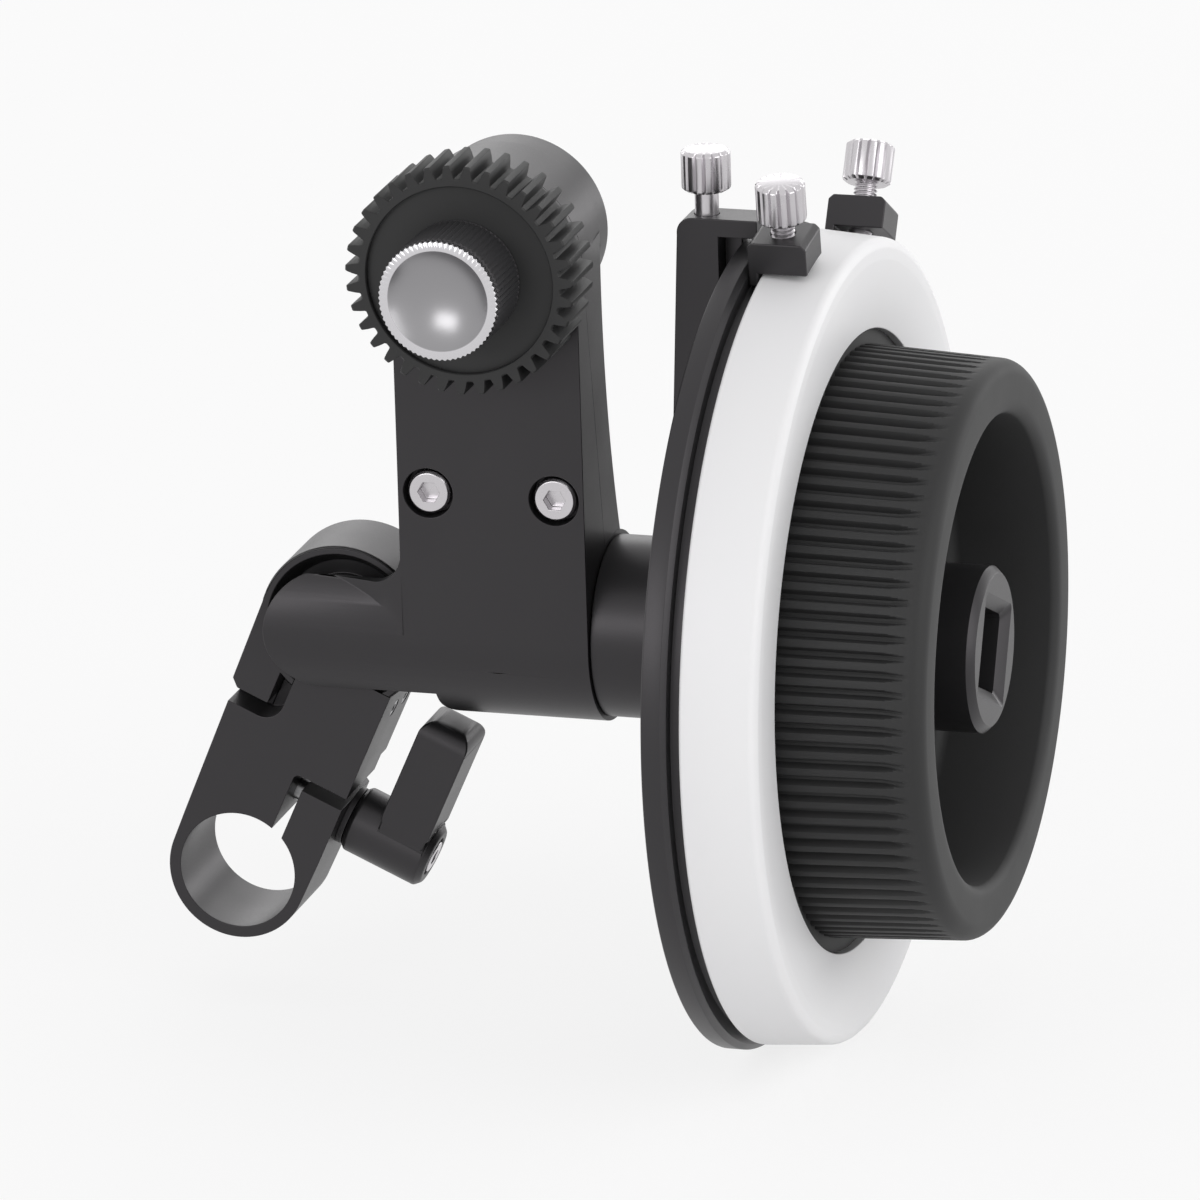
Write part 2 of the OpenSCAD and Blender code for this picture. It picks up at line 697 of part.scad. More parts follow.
// rounding of the rim, and the radius of the ring it sits on
lip_r = 2.1;
lip_ring = grip_r - 2.95;
module grip_profile() {
    difference() {
        union() {
            // foot flange in the hole of the marking disc, sleeve, then the rim
            polygon([[12, x_root], [20, x_root], [20, x_root - 1.4], [root_r - fit, x_root - 1.4],
                [root_r - fit, x_root - 1], [grip_r - 1, x_root - 1], [grip_r - 1.65, x_lip - 4.6],
                [grip_r - 0.95, x_lip - lip_r - 0.1], [lip_ring, x_lip - lip_r], [lip_ring, x_lip],
                [bowl_r + 1, x_lip], [bowl_r - 0.1, x_lip - 1.1], [12, x_lip - 1.1]]);
            translate([lip_ring, x_lip - lip_r]) circle(lip_r);
        }
        round_box([0, floor_x], [bowl_r, x_lip + 8], 2);
        translate([-1, floor_x]) square([20, 20]);
    }
}
module hand_grip() {
    color(rubber) row() union() {
        spin_x() grip_profile();
        // ribs: straight teeth trimmed to the taper, running out to points before the rim
        intersection() {
            spin_x() polygon([[grip_r - 2, x_root - 1.2], [grip_r, x_root - 1.2],
                [grip_r - 0.78, x_lip - lip_r - 0.05], [grip_r - 1.2, x_lip - lip_r + 0.9],
                [grip_r - 2.2, x_lip - lip_r + 0.9]]);
            translate([x_root - 1.2, 0, 0]) rotate([0, 90, 0]) linear_extrude(grip_l)
                for (i = [0:grip_ribs - 1]) rotate(i * 360 / grip_ribs)
                    polygon([[grip_r - 3, -0.85], [grip_r + 0.1, -0.45], [grip_r + 0.1, 0.45], [grip_r - 3, 0.85]]);
        }
    }
}
module wheel_hub() {
    color(anodised) row() difference() {
        union() {
            spin_x() polygon([[shaft_r, x_mark], [19.8, x_mark], [19.8, x_root], [11.8, x_root],
                [11.8, floor_x - 0.4], [hub_d / 2, floor_x], [hub_d / 2, x_hub - 0.9],
                [hub_d / 2 - 0.9, x_hub], [0, x_hub], [0, x_hub - 9], [shaft_r, x_hub - 9]]);
        }
        // square crank socket with its bevelled lead-in
        rotate([18, 0, 0]) translate([x_hub - 7, -socket_w / 2, -socket_w / 2])
            cube([10, socket_w, socket_w]);
        rotate([18, 0, 0]) intersection() {
            for (k = [0, 1]) rotate([90 * k, 0, 0]) translate([x_hub, 0, 0])
                rotate([90, 0, 0]) linear_extrude(40, center = true) polygon([
                    [-2.4, -socket_w / 2], [-2.4, socket_w / 2], [0.1, socket_w / 2 + 2.5],
                    [0.1, -socket_w / 2 - 2.5]]);
            spin_x() polygon([[0, x_hub - 3], [hub_d / 2 - 1.6, x_hub - 3],
                [hub_d / 2 - 1.6, x_hub + 1], [0, x_hub + 1]]);
        }
        for (a = [90:120:330]) rotate([a, 0, 0]) translate([0, 0, 15])
            x_cyl(x_mark - 1, x_root - 2.4, thread_d / 2);
    }
}
module disc_screws() {
    color(steel) row() for (a = [90:120:330]) rotate([a, 0, 0]) translate([0, 0, 15])
        x_cyl(x_disc + 0.2, x_root - 2.6, thread_d / 2);
}

// ---- index arm and hard stops -----------------------------------------
module index_arm() {
    color(anodised) row() difference() {
        union() {
            x_cyl(index_foot, index_x1, collar_d / 2 + 3.4);
            xz_prism(index_y0, index_y1) difference() {
                union() {
                    round_box([index_x0, 12], [index_x1 + 5, index_top], 2);
                    polygon([[index_foot, 12], [index_x0 + 0.01, index_top - 2.2],
                        [index_x1, index_top - 2.2], [index_x1, 12]]);
                    translate([index_x1, index_top - 3.4]) square([5, 3.4]);
                }
                translate([index_x1, 0]) square([20, disc_r + 0.9]);
            }
            // web that closes the room towards the rear disc
            xz_prism(-1, index_y1) translate([index_x1 - 1, 13])
                square([x_disc - gap - index_x1 + 1, index_top - 14]);
        }
        x_cyl(index_foot - 1, x_disc, collar_d / 2);
        // clamp slot and screw hole under the collar
        translate([index_foot - 1, -0.6, -20]) cube([12, 1.2, 12]);
        translate([(index_x0 + index_x1) / 2, 0, -13.2]) y_cyl(-20, 20, 0.9);
        // thumbscrew hole
        translate([index_xm, (index_y0 + index_y1) / 2, index_top - 7])
            cylinder(h = 10, r = thread_d / 2 + fit);
    }
}
module index_arm_screw() {
    color(steel) row() translate([(index_x0 + index_x1) / 2, 0, -13.2]) difference() {
        y_cyl(-6.6, 6.6, 0.9);
        translate([0, -7, 0]) rotate([-90, 0, 0]) cylinder(h = 1.4, r = 0.5, $fn = 6);
    }
}
// thumbscrew standing on the origin, shank_l below the seat, neck above it
module thumbscrew(shank_l, neck, shank_r) {
    union() {
        translate([0, 0, neck]) intersection() {
            linear_extrude(thumb_l) fluted_2d(thumb_d / 2, 14, 0.5, 0.3);
            rotate_extrude() polygon([[0, 0], [thumb_d / 2 - 0.6, 0], [thumb_d / 2, 0.5],
                [thumb_d / 2, thumb_l - 0.6], [thumb_d / 2 - 0.7, thumb_l], [0, thumb_l]]);
        }
        translate([0, 0, -shank_l]) cylinder(h = shank_l + neck + eps, r = shank_r);
    }
}
module index_thumbscrew() {
    color(steel) row() translate([index_xm, (index_y0 + index_y1) / 2, index_top])
        thumbscrew(6.8, 3.1, 1.5);
}
module at_stop(a) {
    rotate([a, 0, 0]) children();
}
stop_xm = (stop_x0 + stop_x1) / 2;
module stop_block() {
    difference() {
        intersection() {
            translate([stop_x0, -stop_w / 2, stop_r0 - 3]) cube([stop_x1 - stop_x0, stop_w, stop_h + 3]);
            rotate([90, 0, 0]) linear_extrude(40, center = true) union() {
                polygon([[stop_x0, stop_r0 - 0.2], [stop_x1, stop_r0 - 0.2],
                    [stop_x1, stop_r0 + stop_h - 0.6], [stop_x1 - 0.6, stop_r0 + stop_h],
                    [stop_x0 + 0.6, stop_r0 + stop_h], [stop_x0, stop_r0 + stop_h - 0.6]]);
                translate([stop_x0, mark_r - 1.55]) square([1.2, 4]);
            }
        }
        x_cyl(stop_x0 + 1.2, stop_x1 + 1, stop_r0);
        translate([stop_xm, 0, stop_r0 - 1]) cylinder(h = 10, r = thread_d / 2 + fit);
    }
}
module stop_screw(i) {
    translate([stop_xm, 0, stop_r0 + stop_h + stop_lifts[i]])
        thumbscrew(stop_h - 0.1 + stop_lifts[i], stop_necks[i], 1.5);
}
module front_stop_block() {
    color(anodised) row() at_stop(front_stop_a) translate([0, 0, stop_lifts[0]]) stop_block();
}
module front_stop_thumbscrew() {
    color(steel) row() at_stop(front_stop_a) stop_screw(0);
}
module rear_stop_block() {
    color(anodised) row() at_stop(rear_stop_a) translate([0, 0, stop_lifts[1]]) stop_block();
}
module rear_stop_thumbscrew() {
    color(steel) row() at_stop(rear_stop_a) stop_screw(1);
}

rod_clamp_bracket();
swing_knuckle();
knuckle_screws();
clamp_lever();
clamp_screw();
clamp_washer();
lever_end_screw();
pivot_bolt();
pivot_washer();
gearbox_body();
gearbox_rear_cover();
cover_screws();
wheel_collar();
cross_shaft();
cross_shaft_bushings();
cross_bevel_gear();
cross_spur_gear();
wheel_bevel_gear();
wheel_shaft();
wheel_bearings();
bearing_spacer();
lower_idler_gear();
middle_idler_gear();
upper_idler_gear();
idler_pins();
output_spur_gear();
output_shaft();
output_bearings();
drive_gear();
gear_knob();
gear_knob_cap();
rear_disc();
marking_disc();
hand_grip();
wheel_hub();
disc_screws();
index_arm();
index_arm_screw();
index_thumbscrew();
front_stop_block();
front_stop_thumbscrew();
rear_stop_block();
rear_stop_thumbscrew();
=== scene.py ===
"""Looks of a follow focus unit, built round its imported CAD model.

Sizes inside the classes are millimetres in the wheel frame: the origin is where the
hand-wheel axis crosses the middle of the gear column, X runs along that axis, Y along
the rod and Z up. Sketch.at() moves them into the row frame, in metres.
"""

import json
import logging
import math
from dataclasses import dataclass
from enum import Enum
from typing import Iterable, Sequence

import bmesh
import bpy
from mathutils import Matrix, Vector

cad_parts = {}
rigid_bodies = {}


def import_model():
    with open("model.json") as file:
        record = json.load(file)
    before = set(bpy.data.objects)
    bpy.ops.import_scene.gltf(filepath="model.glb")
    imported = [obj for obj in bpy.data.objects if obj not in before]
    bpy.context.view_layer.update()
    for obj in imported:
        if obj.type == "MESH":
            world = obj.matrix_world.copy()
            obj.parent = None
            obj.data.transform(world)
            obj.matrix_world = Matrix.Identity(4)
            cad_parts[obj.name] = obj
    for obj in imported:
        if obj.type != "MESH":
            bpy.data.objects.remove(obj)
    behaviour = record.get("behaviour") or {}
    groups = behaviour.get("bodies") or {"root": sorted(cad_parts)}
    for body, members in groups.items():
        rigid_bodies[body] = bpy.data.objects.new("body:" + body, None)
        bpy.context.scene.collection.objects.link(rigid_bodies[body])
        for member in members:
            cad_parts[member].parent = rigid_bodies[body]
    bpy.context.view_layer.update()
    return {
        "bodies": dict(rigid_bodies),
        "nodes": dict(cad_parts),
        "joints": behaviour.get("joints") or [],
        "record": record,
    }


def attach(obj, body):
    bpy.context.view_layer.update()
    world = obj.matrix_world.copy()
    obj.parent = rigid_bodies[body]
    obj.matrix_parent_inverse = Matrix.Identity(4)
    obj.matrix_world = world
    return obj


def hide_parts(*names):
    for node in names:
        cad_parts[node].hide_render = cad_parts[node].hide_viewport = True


LOG = logging.getLogger("scene")
# The row frame's origin, given in the wheel frame.
ROD = Vector((-36.6111, -1.3, -33.3898))
# Metres in a millimetre.
MM = 0.001
# Points of a mesh closer than this are one, in the mesh's own unit.
MERGE = 1e-5
Point = tuple[float, float]
Corner = tuple[float, float, float]
Spot = tuple[float, float, float]
Tone = tuple[float, float, float]
Ring = tuple[float, Sequence[Point]]


class Axis(Enum):
    """The axis that a piece is turned about or lofted along."""

    X = "X"
    Y = "Y"
    Z = "Z"


# ---- node trees -------------------------------------------------------------


@dataclass
class Wire:
    """A shader socket that can be written in plain sums."""

    tree: "Nodes"
    socket: object

    def _math(self, kind: str, *others: object) -> "Wire":
        """Returns kind of this wire and the others."""
        return self.tree.math(kind, self, *others)

    def __add__(self, other: object) -> "Wire":
        """Sum."""
        return self._math("ADD", other)

    def __radd__(self, other: object) -> "Wire":
        """Sum, number first."""
        return self._math("ADD", other)

    def __sub__(self, other: object) -> "Wire":
        """Difference."""
        return self._math("SUBTRACT", other)

    def __rsub__(self, other: object) -> "Wire":
        """Difference, number first."""
        return self.tree.math("SUBTRACT", other, self)

    def __mul__(self, other: object) -> "Wire":
        """Product."""
        return self._math("MULTIPLY", other)

    def between(self, low: float, high: float) -> "Wire":
        """Returns this wire smoothly stepped from 0 at low to 1 at high."""
        ramp = self.tree.add("ShaderNodeMapRange", {"interpolation_type": "SMOOTHSTEP"},
                             {"Value": self, "From Min": low, "From Max": high})
        return Wire(self.tree, ramp.outputs["Result"])


class Nodes:
    """A node tree of a material or a world, with short ways to add to it."""

    # Numbers of a Mix node's colour sockets, whose names other sockets of it share.
    MIX_A, MIX_B, MIX_OUT = 6, 7, 2

    def __init__(self, name: str, owner: bpy.types.ID | None = None) -> None:
        """Starts an empty tree.

        Args:
            name: the material's name.
            owner: a world to work on in a material's place.
        """
        self.material = owner or bpy.data.materials.new(name)
        self.material.use_nodes = True
        self.tree = self.material.node_tree
        self.tree.nodes.clear()

    def add(self, kind: str, settings: dict | None = None, inputs: dict | None = None) -> object:
        """Adds one node.

        Args:
            kind: the node's type name.
            settings: properties to set on it.
            inputs: socket name or number to a Wire or a constant.

        Returns:
            The node.
        """
        node = self.tree.nodes.new(kind)
        for key, value in (settings or {}).items():
            setattr(node, key, value)
        for key, value in (inputs or {}).items():
            self.feed(node.inputs[key], value)
        return node

    def feed(self, socket: object, value: object) -> None:
        """Links a Wire to the socket, or sets the socket to a constant."""
        if isinstance(value, Wire):
            self.tree.links.new(value.socket, socket)
        else:
            socket.default_value = value

    def math(self, kind: str, *values: object) -> Wire:
        """Returns a maths node's result as a Wire."""
        node = self.add("ShaderNodeMath", {"operation": kind}, dict(enumerate(values)))
        return Wire(self, node.outputs[0])

    def place(self) -> Wire:
        """Object coordinates."""
        return Wire(self, self.add("ShaderNodeTexCoord").outputs["Object"])

    def stretched(self, vector: Wire, scale: Sequence[float]) -> Wire:
        """The vector scaled along each axis."""
        node = self.add("ShaderNodeVectorMath", {"operation": "MULTIPLY"}, {0: vector, 1: scale})
        return Wire(self, node.outputs["Vector"])

    def noise(self, vector: Wire, scale: float, detail: float = 3.0, rough: float = 0.5) -> Wire:
        """Noise from 0 to 1 with about scale cells to the metre."""
        node = self.add("ShaderNodeTexNoise", None,
                        {"Vector": vector, "Scale": scale, "Detail": detail, "Roughness": rough})
        return Wire(self, node.outputs["Fac"])

    def mix(self, factor: Wire | float, a: Tone, b: Tone) -> Wire:
        """A colour between a and b."""
        node = self.add("ShaderNodeMix", {"data_type": "RGBA"})
        self.feed(node.inputs["Factor"], factor)
        self.feed(node.inputs[self.MIX_A], (*a, 1.0))
        self.feed(node.inputs[self.MIX_B], (*b, 1.0))
        return Wire(self, node.outputs[self.MIX_OUT])

    def seen(self) -> Wire:
        """1 for rays from the camera and from shiny or clear pieces, else 0."""
        path = self.add("ShaderNodeLightPath").outputs
        camera, glossy, clear = (Wire(self, path[f"Is {kind} Ray"])
                                 for kind in ("Camera", "Glossy", "Transmission"))
        return self.math("MAXIMUM", self.math("MAXIMUM", camera, glossy), clear)

    def bump(self, height: Wire, depth: float, strength: float) -> Wire:
        """A normal bumped by a height of 0 to 1 over depth in metres."""
        node = self.add("ShaderNodeBump", None,
                        {"Height": height, "Distance": depth, "Strength": strength})
        return Wire(self, node.outputs["Normal"])

    def surface(self, **inputs: object) -> bpy.types.Material:
        """Ends the tree with a Principled shader.

        Args:
            inputs: socket names, with _ for a space, to a Wire or a constant.

        Returns:
            The finished material.
        """
        shader = self.add("ShaderNodeBsdfPrincipled", None,
                          {key.replace("_", " "): value for key, value in inputs.items()})
        out = self.add("ShaderNodeOutputMaterial")
        self.tree.links.new(shader.outputs[0], out.inputs["Surface"])
        return self.material

    def backdrop(self, lit: object, shown: object, factor: Wire, end: str) -> None:
        """Ends the tree with a mix of two shaders.

        Args:
            lit: the shader node for light on its way to the object.
            shown: the shader node for rays that see the backdrop.
            factor: how much of the second one a ray gets.
            end: type name of the output node.
        """
        mix = self.add("ShaderNodeMixShader", None, {0: factor})
        out = self.add(end)
        self.tree.links.new(lit.outputs[0], mix.inputs[1])
        self.tree.links.new(shown.outputs[0], mix.inputs[2])
        self.tree.links.new(mix.outputs[0], out.inputs["Surface"])


# ---- finishes ---------------------------------------------------------------


def grey(shade: float, share: float, blue: float) -> Tone:
    """Returns a share of the shade as a grey, with a share of its own for blue."""
    return shade * share, shade * share, shade * blue


@dataclass(frozen=True)
class Anodised:
    """Black anodised aluminium with a fine blasted skin.

    Args:
        name: the material's name.
        shade: its colour as one grey.
        rough: its roughness.
        grain: depth of the blasted grain in metres.
        grains: grains to the metre.
        clouds: slow patches to the metre.
        tint: colour of its reflection when seen head-on.
    """

    name: str = "anodised_black"
    shade: float = 0.013
    rough: float = 0.38
    grain: float = 0.000012
    grains: float = 5200.0
    clouds: float = 130.0
    tint: tuple[float, float, float, float] = (1.0, 0.95, 1.0, 1.0)

    def build(self) -> bpy.types.Material:
        """Returns the material."""
        n = Nodes(self.name)
        place = n.place()
        fine = n.noise(place, self.grains, 2.0)
        cloud = n.noise(place, self.clouds, 3.0)
        return n.surface(
            Base_Color=n.mix(cloud, grey(self.shade, 0.9, 0.94), grey(self.shade, 1.12, 1.16)),
            Roughness=self.rough + (cloud - 0.5) * 0.08 + (fine - 0.5) * 0.1,
            Specular_IOR_Level=0.5,
            Specular_Tint=self.tint,
            Normal=n.bump(fine, self.grain, 0.5),
        )


@dataclass(frozen=True)
class Metal:
    """Bare or plated metal with faint turning marks.

    Args:
        name: the material's name.
        tone: its colour.
        rough: its roughness.
        depth: depth of the turning marks in metres.
        marks: turning marks to the metre.
        smudges: smudges to the metre.
        dull: the smudges' share of the colour.
    """

    name: str
    tone: Tone
    rough: float
    depth: float = 0.000004
    marks: float = 2600.0
    smudges: float = 240.0
    dull: float = 0.93

    def build(self) -> bpy.types.Material:
        """Returns the material."""
        n = Nodes(self.name)
        place = n.place()
        marks = n.noise(place, self.marks, 4.0, 0.6)
        smudge = n.noise(place, self.smudges, 2.0)
        return n.surface(
            Base_Color=n.mix(smudge, tuple(c * self.dull for c in self.tone), self.tone),
            Metallic=1.0,
            Roughness=self.rough + (smudge - 0.5) * 0.06,
            Normal=n.bump(marks, self.depth, 0.4),
        )


@dataclass(frozen=True)
class TurnedCap:
    """Steel turned to a satin dish inside a polished rim, the dish's colour painted darker than the rim's
    as painted shade.

    Args:
        name: the material's name.
        centre: a point on the cap's axis, which runs along Y, in wheel-frame millimetres.
        rim: radius where the rim starts, in millimetres.
        blend: half the width over which dish and rim blend, in millimetres.
        tone: colour of the rim.
        shade: the dish's share of that colour, painted shade in the dish.
        rough: roughness of the dish.
        polish: how much less rough the rim is.
        marks: turning marks to the metre.
        depth: depth of the turning marks in metres.
    """

    name: str = "turned_cap"
    centre: Spot = (0.0, 0.0, 51.0)
    rim: float = 6.42
    blend: float = 0.06
    tone: Tone = (0.62, 0.61, 0.63)
    shade: float = 0.5
    rough: float = 0.3
    polish: float = 0.12
    marks: float = 9000.0
    depth: float = 0.000006

    def build(self) -> bpy.types.Material:
        """Returns the material."""
        n = Nodes(self.name)
        middle = tuple(-c for c in Sketch.at(self.centre))
        moved = n.add("ShaderNodeVectorMath", {"operation": "ADD"}, {0: n.place(), 1: middle})
        flat = n.stretched(Wire(n, moved.outputs["Vector"]), (1.0, 0.0, 1.0))
        length = n.add("ShaderNodeVectorMath", {"operation": "LENGTH"}, {0: flat})
        reach = Wire(n, length.outputs["Value"])
        rim = reach.between((self.rim - self.blend) * MM, (self.rim + self.blend) * MM)
        lines = n.add("ShaderNodeTexNoise", {"noise_dimensions": "1D"},
                      {"W": reach, "Scale": self.marks, "Detail": 2.0})
        return n.surface(
            # Painted shade: the dish takes a share of the rim's colour, the rim the full colour.
            Base_Color=n.mix(rim, tuple(c * self.shade for c in self.tone), self.tone),
            Metallic=1.0,
            Roughness=self.rough - rim * self.polish,
            Normal=n.bump(Wire(n, lines.outputs["Fac"]), self.depth, 0.5),
        )


@dataclass(frozen=True)
class Moulded:
    """Matt black rubber or acetal.

    Args:
        name: the material's name.
        shade: its colour as one grey.
        rough: its roughness.
        grain: depth of the moulded grain in metres.
        grains: grains to the metre.
        clouds: slow patches to the metre.
    """

    name: str
    shade: float
    rough: float
    grain: float
    grains: float = 3800.0
    clouds: float = 160.0

    def build(self) -> bpy.types.Material:
        """Returns the material."""
        n = Nodes(self.name)
        place = n.place()
        fine = n.noise(place, self.grains, 3.0)
        cloud = n.noise(place, self.clouds, 2.0)
        return n.surface(
            Base_Color=n.mix(cloud, grey(self.shade, 0.88, 0.88), grey(self.shade, 1.12, 1.15)),
            Roughness=self.rough + (cloud - 0.5) * 0.1,
            Specular_IOR_Level=0.4,
            Normal=n.bump(fine, self.grain, 0.6),
        )


@dataclass(frozen=True)
class WhitePlastic:
    """White plastic that can be written on.

    Args:
        name: the material's name.
        shade: its colour as one grey.
        rough: its roughness.
        grain: depth of the moulded grain in metres.
        grains: grains to the metre.
        clouds: slow patches to the metre.
    """

    name: str = "white_disc"
    shade: float = 0.87
    rough: float = 0.48
    grain: float = 0.000005
    grains: float = 2500.0
    clouds: float = 60.0

    def build(self) -> bpy.types.Material:
        """Returns the material."""
        n = Nodes(self.name)
        place = n.place()
        fine = n.noise(place, self.grains, 2.0)
        cloud = n.noise(place, self.clouds, 2.0)
        return n.surface(
            Base_Color=n.mix(cloud, grey(self.shade, 0.985, 1.0), grey(self.shade, 1.0, 1.0)),
            Roughness=self.rough + (fine - 0.5) * 0.06,
            Specular_IOR_Level=0.4,
            Normal=n.bump(fine, self.grain, 0.4),
        )


class Finishes:
    """Every finish, made once and handed out by the record's slot name."""

    def __init__(self) -> None:
        """Builds the materials."""
        self.by_slot = {
            "anodised": Anodised().build(),
            "steel": Metal("plain_steel", (0.5, 0.5, 0.51), 0.34).build(),
            "bright_steel": Metal("bright_steel", (0.6, 0.58, 0.6), 0.28).build(),
            "turned_cap": TurnedCap().build(),
            # The knob's black anodising painted lighter than the body's (0.03 against 0.013), painted light
            # on the knob; it is rougher too.
            "knurled": Anodised("knurled_black_painted_lighter", 0.03, 0.5).build(),
            "bronze": Metal("bronze", (0.5, 0.31, 0.15), 0.4).build(),
            "brass": Metal("brass", (0.73, 0.54, 0.25), 0.28).build(),
            "gear_plastic": Moulded("gear_acetal", 0.022, 0.56, 0.00001).build(),
            "white_plastic": WhitePlastic().build(),
            "grip_rubber": Moulded("grip_rubber", 0.02, 0.62, 0.000014).build(),
        }

    def paint(self, obj: bpy.types.Object, slot: str) -> None:
        """Gives the object the finish of a slot.

        Args:
            obj: the object to paint.
            slot: the slot's name.
        """
        materials = obj.data.materials
        if not materials:
            materials.append(self.by_slot[slot])
        for index in range(len(materials)):
            materials[index] = self.by_slot[slot]


# ---- drawing ----------------------------------------------------------------


def fillet(points: Sequence[Point | Corner], steps: int) -> list[Point]:
    """Rounds the corners of an outline.

    Args:
        points: (u, v) or (u, v, radius) corners in order.
        steps: pieces per rounded corner.

    Returns:
        The outline with each radius drawn as a short arc.
    """
    # A rounding takes at most this share of a side, and a side shorter than tiny has none.
    most, tiny = 0.49, 1e-9
    out: list[Point] = []
    count = len(points)
    for i, corner in enumerate(points):
        p = Vector(corner[:2])
        r = corner[2] if len(corner) > 2 else 0.0
        a = Vector(points[i - 1][:2]) - p
        b = Vector(points[(i + 1) % count][:2]) - p
        if r <= 0 or a.length < tiny or b.length < tiny:
            out.append((p.x, p.y))
            continue
        half = a.angle(b) / 2
        reach = min(r / math.tan(half), a.length * most, b.length * most)
        r = reach * math.tan(half)
        centre = p + (a.normalized() + b.normalized()).normalized() * (r / math.sin(half))
        start = p + a.normalized() * reach - centre
        end = p + b.normalized() * reach - centre
        turn = start.angle_signed(end)
        for k in range(steps + 1):
            spot = centre + Matrix.Rotation(-turn * k / steps, 2) @ start
            out.append((spot.x, spot.y))
    return out


def smooth(value: float, low: float, high: float) -> float:
    """Returns value smoothly stepped from 0 at low to 1 at high."""
    t = min(1.0, max(0.0, (value - low) / (high - low)))
    return t * t * (3 - 2 * t)


def quarter(steps: int) -> list[Point]:
    """Returns the (sine, cosine) of each of steps equal turns up to 90 degrees."""
    turns = [math.radians(90 * (step + 1) / steps) for step in range(steps)]
    return [(math.sin(turn), math.cos(turn)) for turn in turns]


class Sketch:
    """Makes closed meshes in the wheel frame and hands them over in the row frame."""

    DIRECTIONS = {Axis.X: (Vector((1, 0, 0)), Vector((0, 0, 1))),
                  Axis.Y: (Vector((0, 1, 0)), Vector((1, 0, 0))),
                  Axis.Z: (Vector((0, 0, 1)), Vector((1, 0, 0)))}

    def __init__(self, name: str) -> None:
        """Starts an empty mesh.

        Args:
            name: the piece's name.
        """
        self.name = name
        self.bm = bmesh.new()

    @staticmethod
    def at(point: Iterable[float]) -> Vector:
        """A wheel-frame point in millimetres as a row-frame point in metres."""
        return (Vector(point) - ROD) * MM

    def turn(self, profile: Sequence[Point], axis: Axis, centre: Spot = (0, 0, 0),
             steps: int = 128) -> "Sketch":
        """Turns a closed profile into a ring or a solid.

        Args:
            profile: (along, radius) points in order round the section.
            axis: the axis it turns about.
            centre: a point on that axis.
            steps: segments round the turn.

        Returns:
            This sketch.
        """
        along, out = self.DIRECTIONS[axis]
        origin = Vector(centre)
        verts = [self.bm.verts.new(origin + along * a + out * r) for a, r in profile]
        edges = [self.bm.edges.new((v, verts[(i + 1) % len(verts)])) for i, v in enumerate(verts)
                 if not (profile[i][1] == 0 and profile[(i + 1) % len(verts)][1] == 0)]
        bmesh.ops.spin(self.bm, geom=verts + edges, cent=origin, axis=along, angle=math.tau,
                       steps=steps, use_merge=True, use_duplicate=False)
        bmesh.ops.remove_doubles(self.bm, verts=self.bm.verts[:], dist=MERGE)
        return self

    def loft(self, rings: Sequence[Ring], axis: Axis, centre: Spot = (0, 0, 0),
             join: bool = False) -> "Sketch":
        """Draws a skin over outlines that have the same number of points.

        Args:
            rings: (place along the axis, outline) in order.
            axis: the axis that the outlines stand across.
            centre: added to every point.
            join: whether the last ring runs back into the first.

        Returns:
            This sketch.
        """
        origin = Vector(centre)
        spot = {Axis.X: lambda a, u, v: (a, u, v), Axis.Y: lambda a, u, v: (u, a, v),
                Axis.Z: lambda a, u, v: (u, v, a)}[axis]
        places = [[origin + Vector(spot(a, u, v)) for u, v in outline] for a, outline in rings]
        if join:
            places.append(places[0])
        verts = [self.bm.verts.new(p) for p in places[0]]
        edges = [self.bm.edges.new((v, verts[(i + 1) % len(verts)])) for i, v in enumerate(verts)]
        for place in places[1:]:
            grown = bmesh.ops.extrude_edge_only(self.bm, edges=edges)["geom"]
            fresh = {v for v in grown if isinstance(v, bmesh.types.BMVert)}
            edges = [e for e in grown if isinstance(e, bmesh.types.BMEdge)
                     and e.verts[0] in fresh and e.verts[1] in fresh]
            verts = [next(e.other_vert(v) for e in v.link_edges if e.other_vert(v) in fresh)
                     for v in verts]
            for vert, point in zip(verts, place):
                vert.co = point
        bmesh.ops.remove_doubles(self.bm, verts=self.bm.verts[:], dist=MERGE)
        return self

    def tilt(self, angle: float, axis: Axis) -> "Sketch":
        """Turns everything drawn so far by an angle in degrees about an axis of the frame."""
        turn = Matrix.Rotation(math.radians(angle), 3, axis.value)
        bmesh.ops.rotate(self.bm, cent=Vector(), matrix=turn, verts=self.bm.verts[:])
        return self

    def finish(self, flattest: float = 30.0) -> bpy.types.Object:
        """Ends the sketch.

        Args:
            flattest: edges flatter than this angle in degrees are shaded smooth.

        Returns:
            The object, at the origin, with its place in its mesh.
        """
        bmesh.ops.recalc_face_normals(self.bm, faces=self.bm.faces[:])
        for vert in self.bm.verts:
            vert.co = self.at(vert.co)
        shade(self.bm, flattest)
        mesh = bpy.data.meshes.new(self.name)
        self.bm.to_mesh(mesh)
        self.bm.free()
        return shown(self.name, mesh)


def shade(bm: bmesh.types.BMesh, flattest: float) -> None:
    """Shades a mesh smooth, but for its edges over an angle in degrees."""
    limit = math.radians(flattest)
    for face in bm.faces:
        face.smooth = True
    for edge in bm.edges:
        edge.smooth = len(edge.link_faces) == 2 and edge.calc_face_angle(0) < limit


def shown(name: str, data: bpy.types.ID) -> bpy.types.Object:
    """Returns a new object of the scene that holds a mesh, a lamp or a camera."""
    obj = bpy.data.objects.new(name, data)
    bpy.context.scene.collection.objects.link(obj)
    return obj


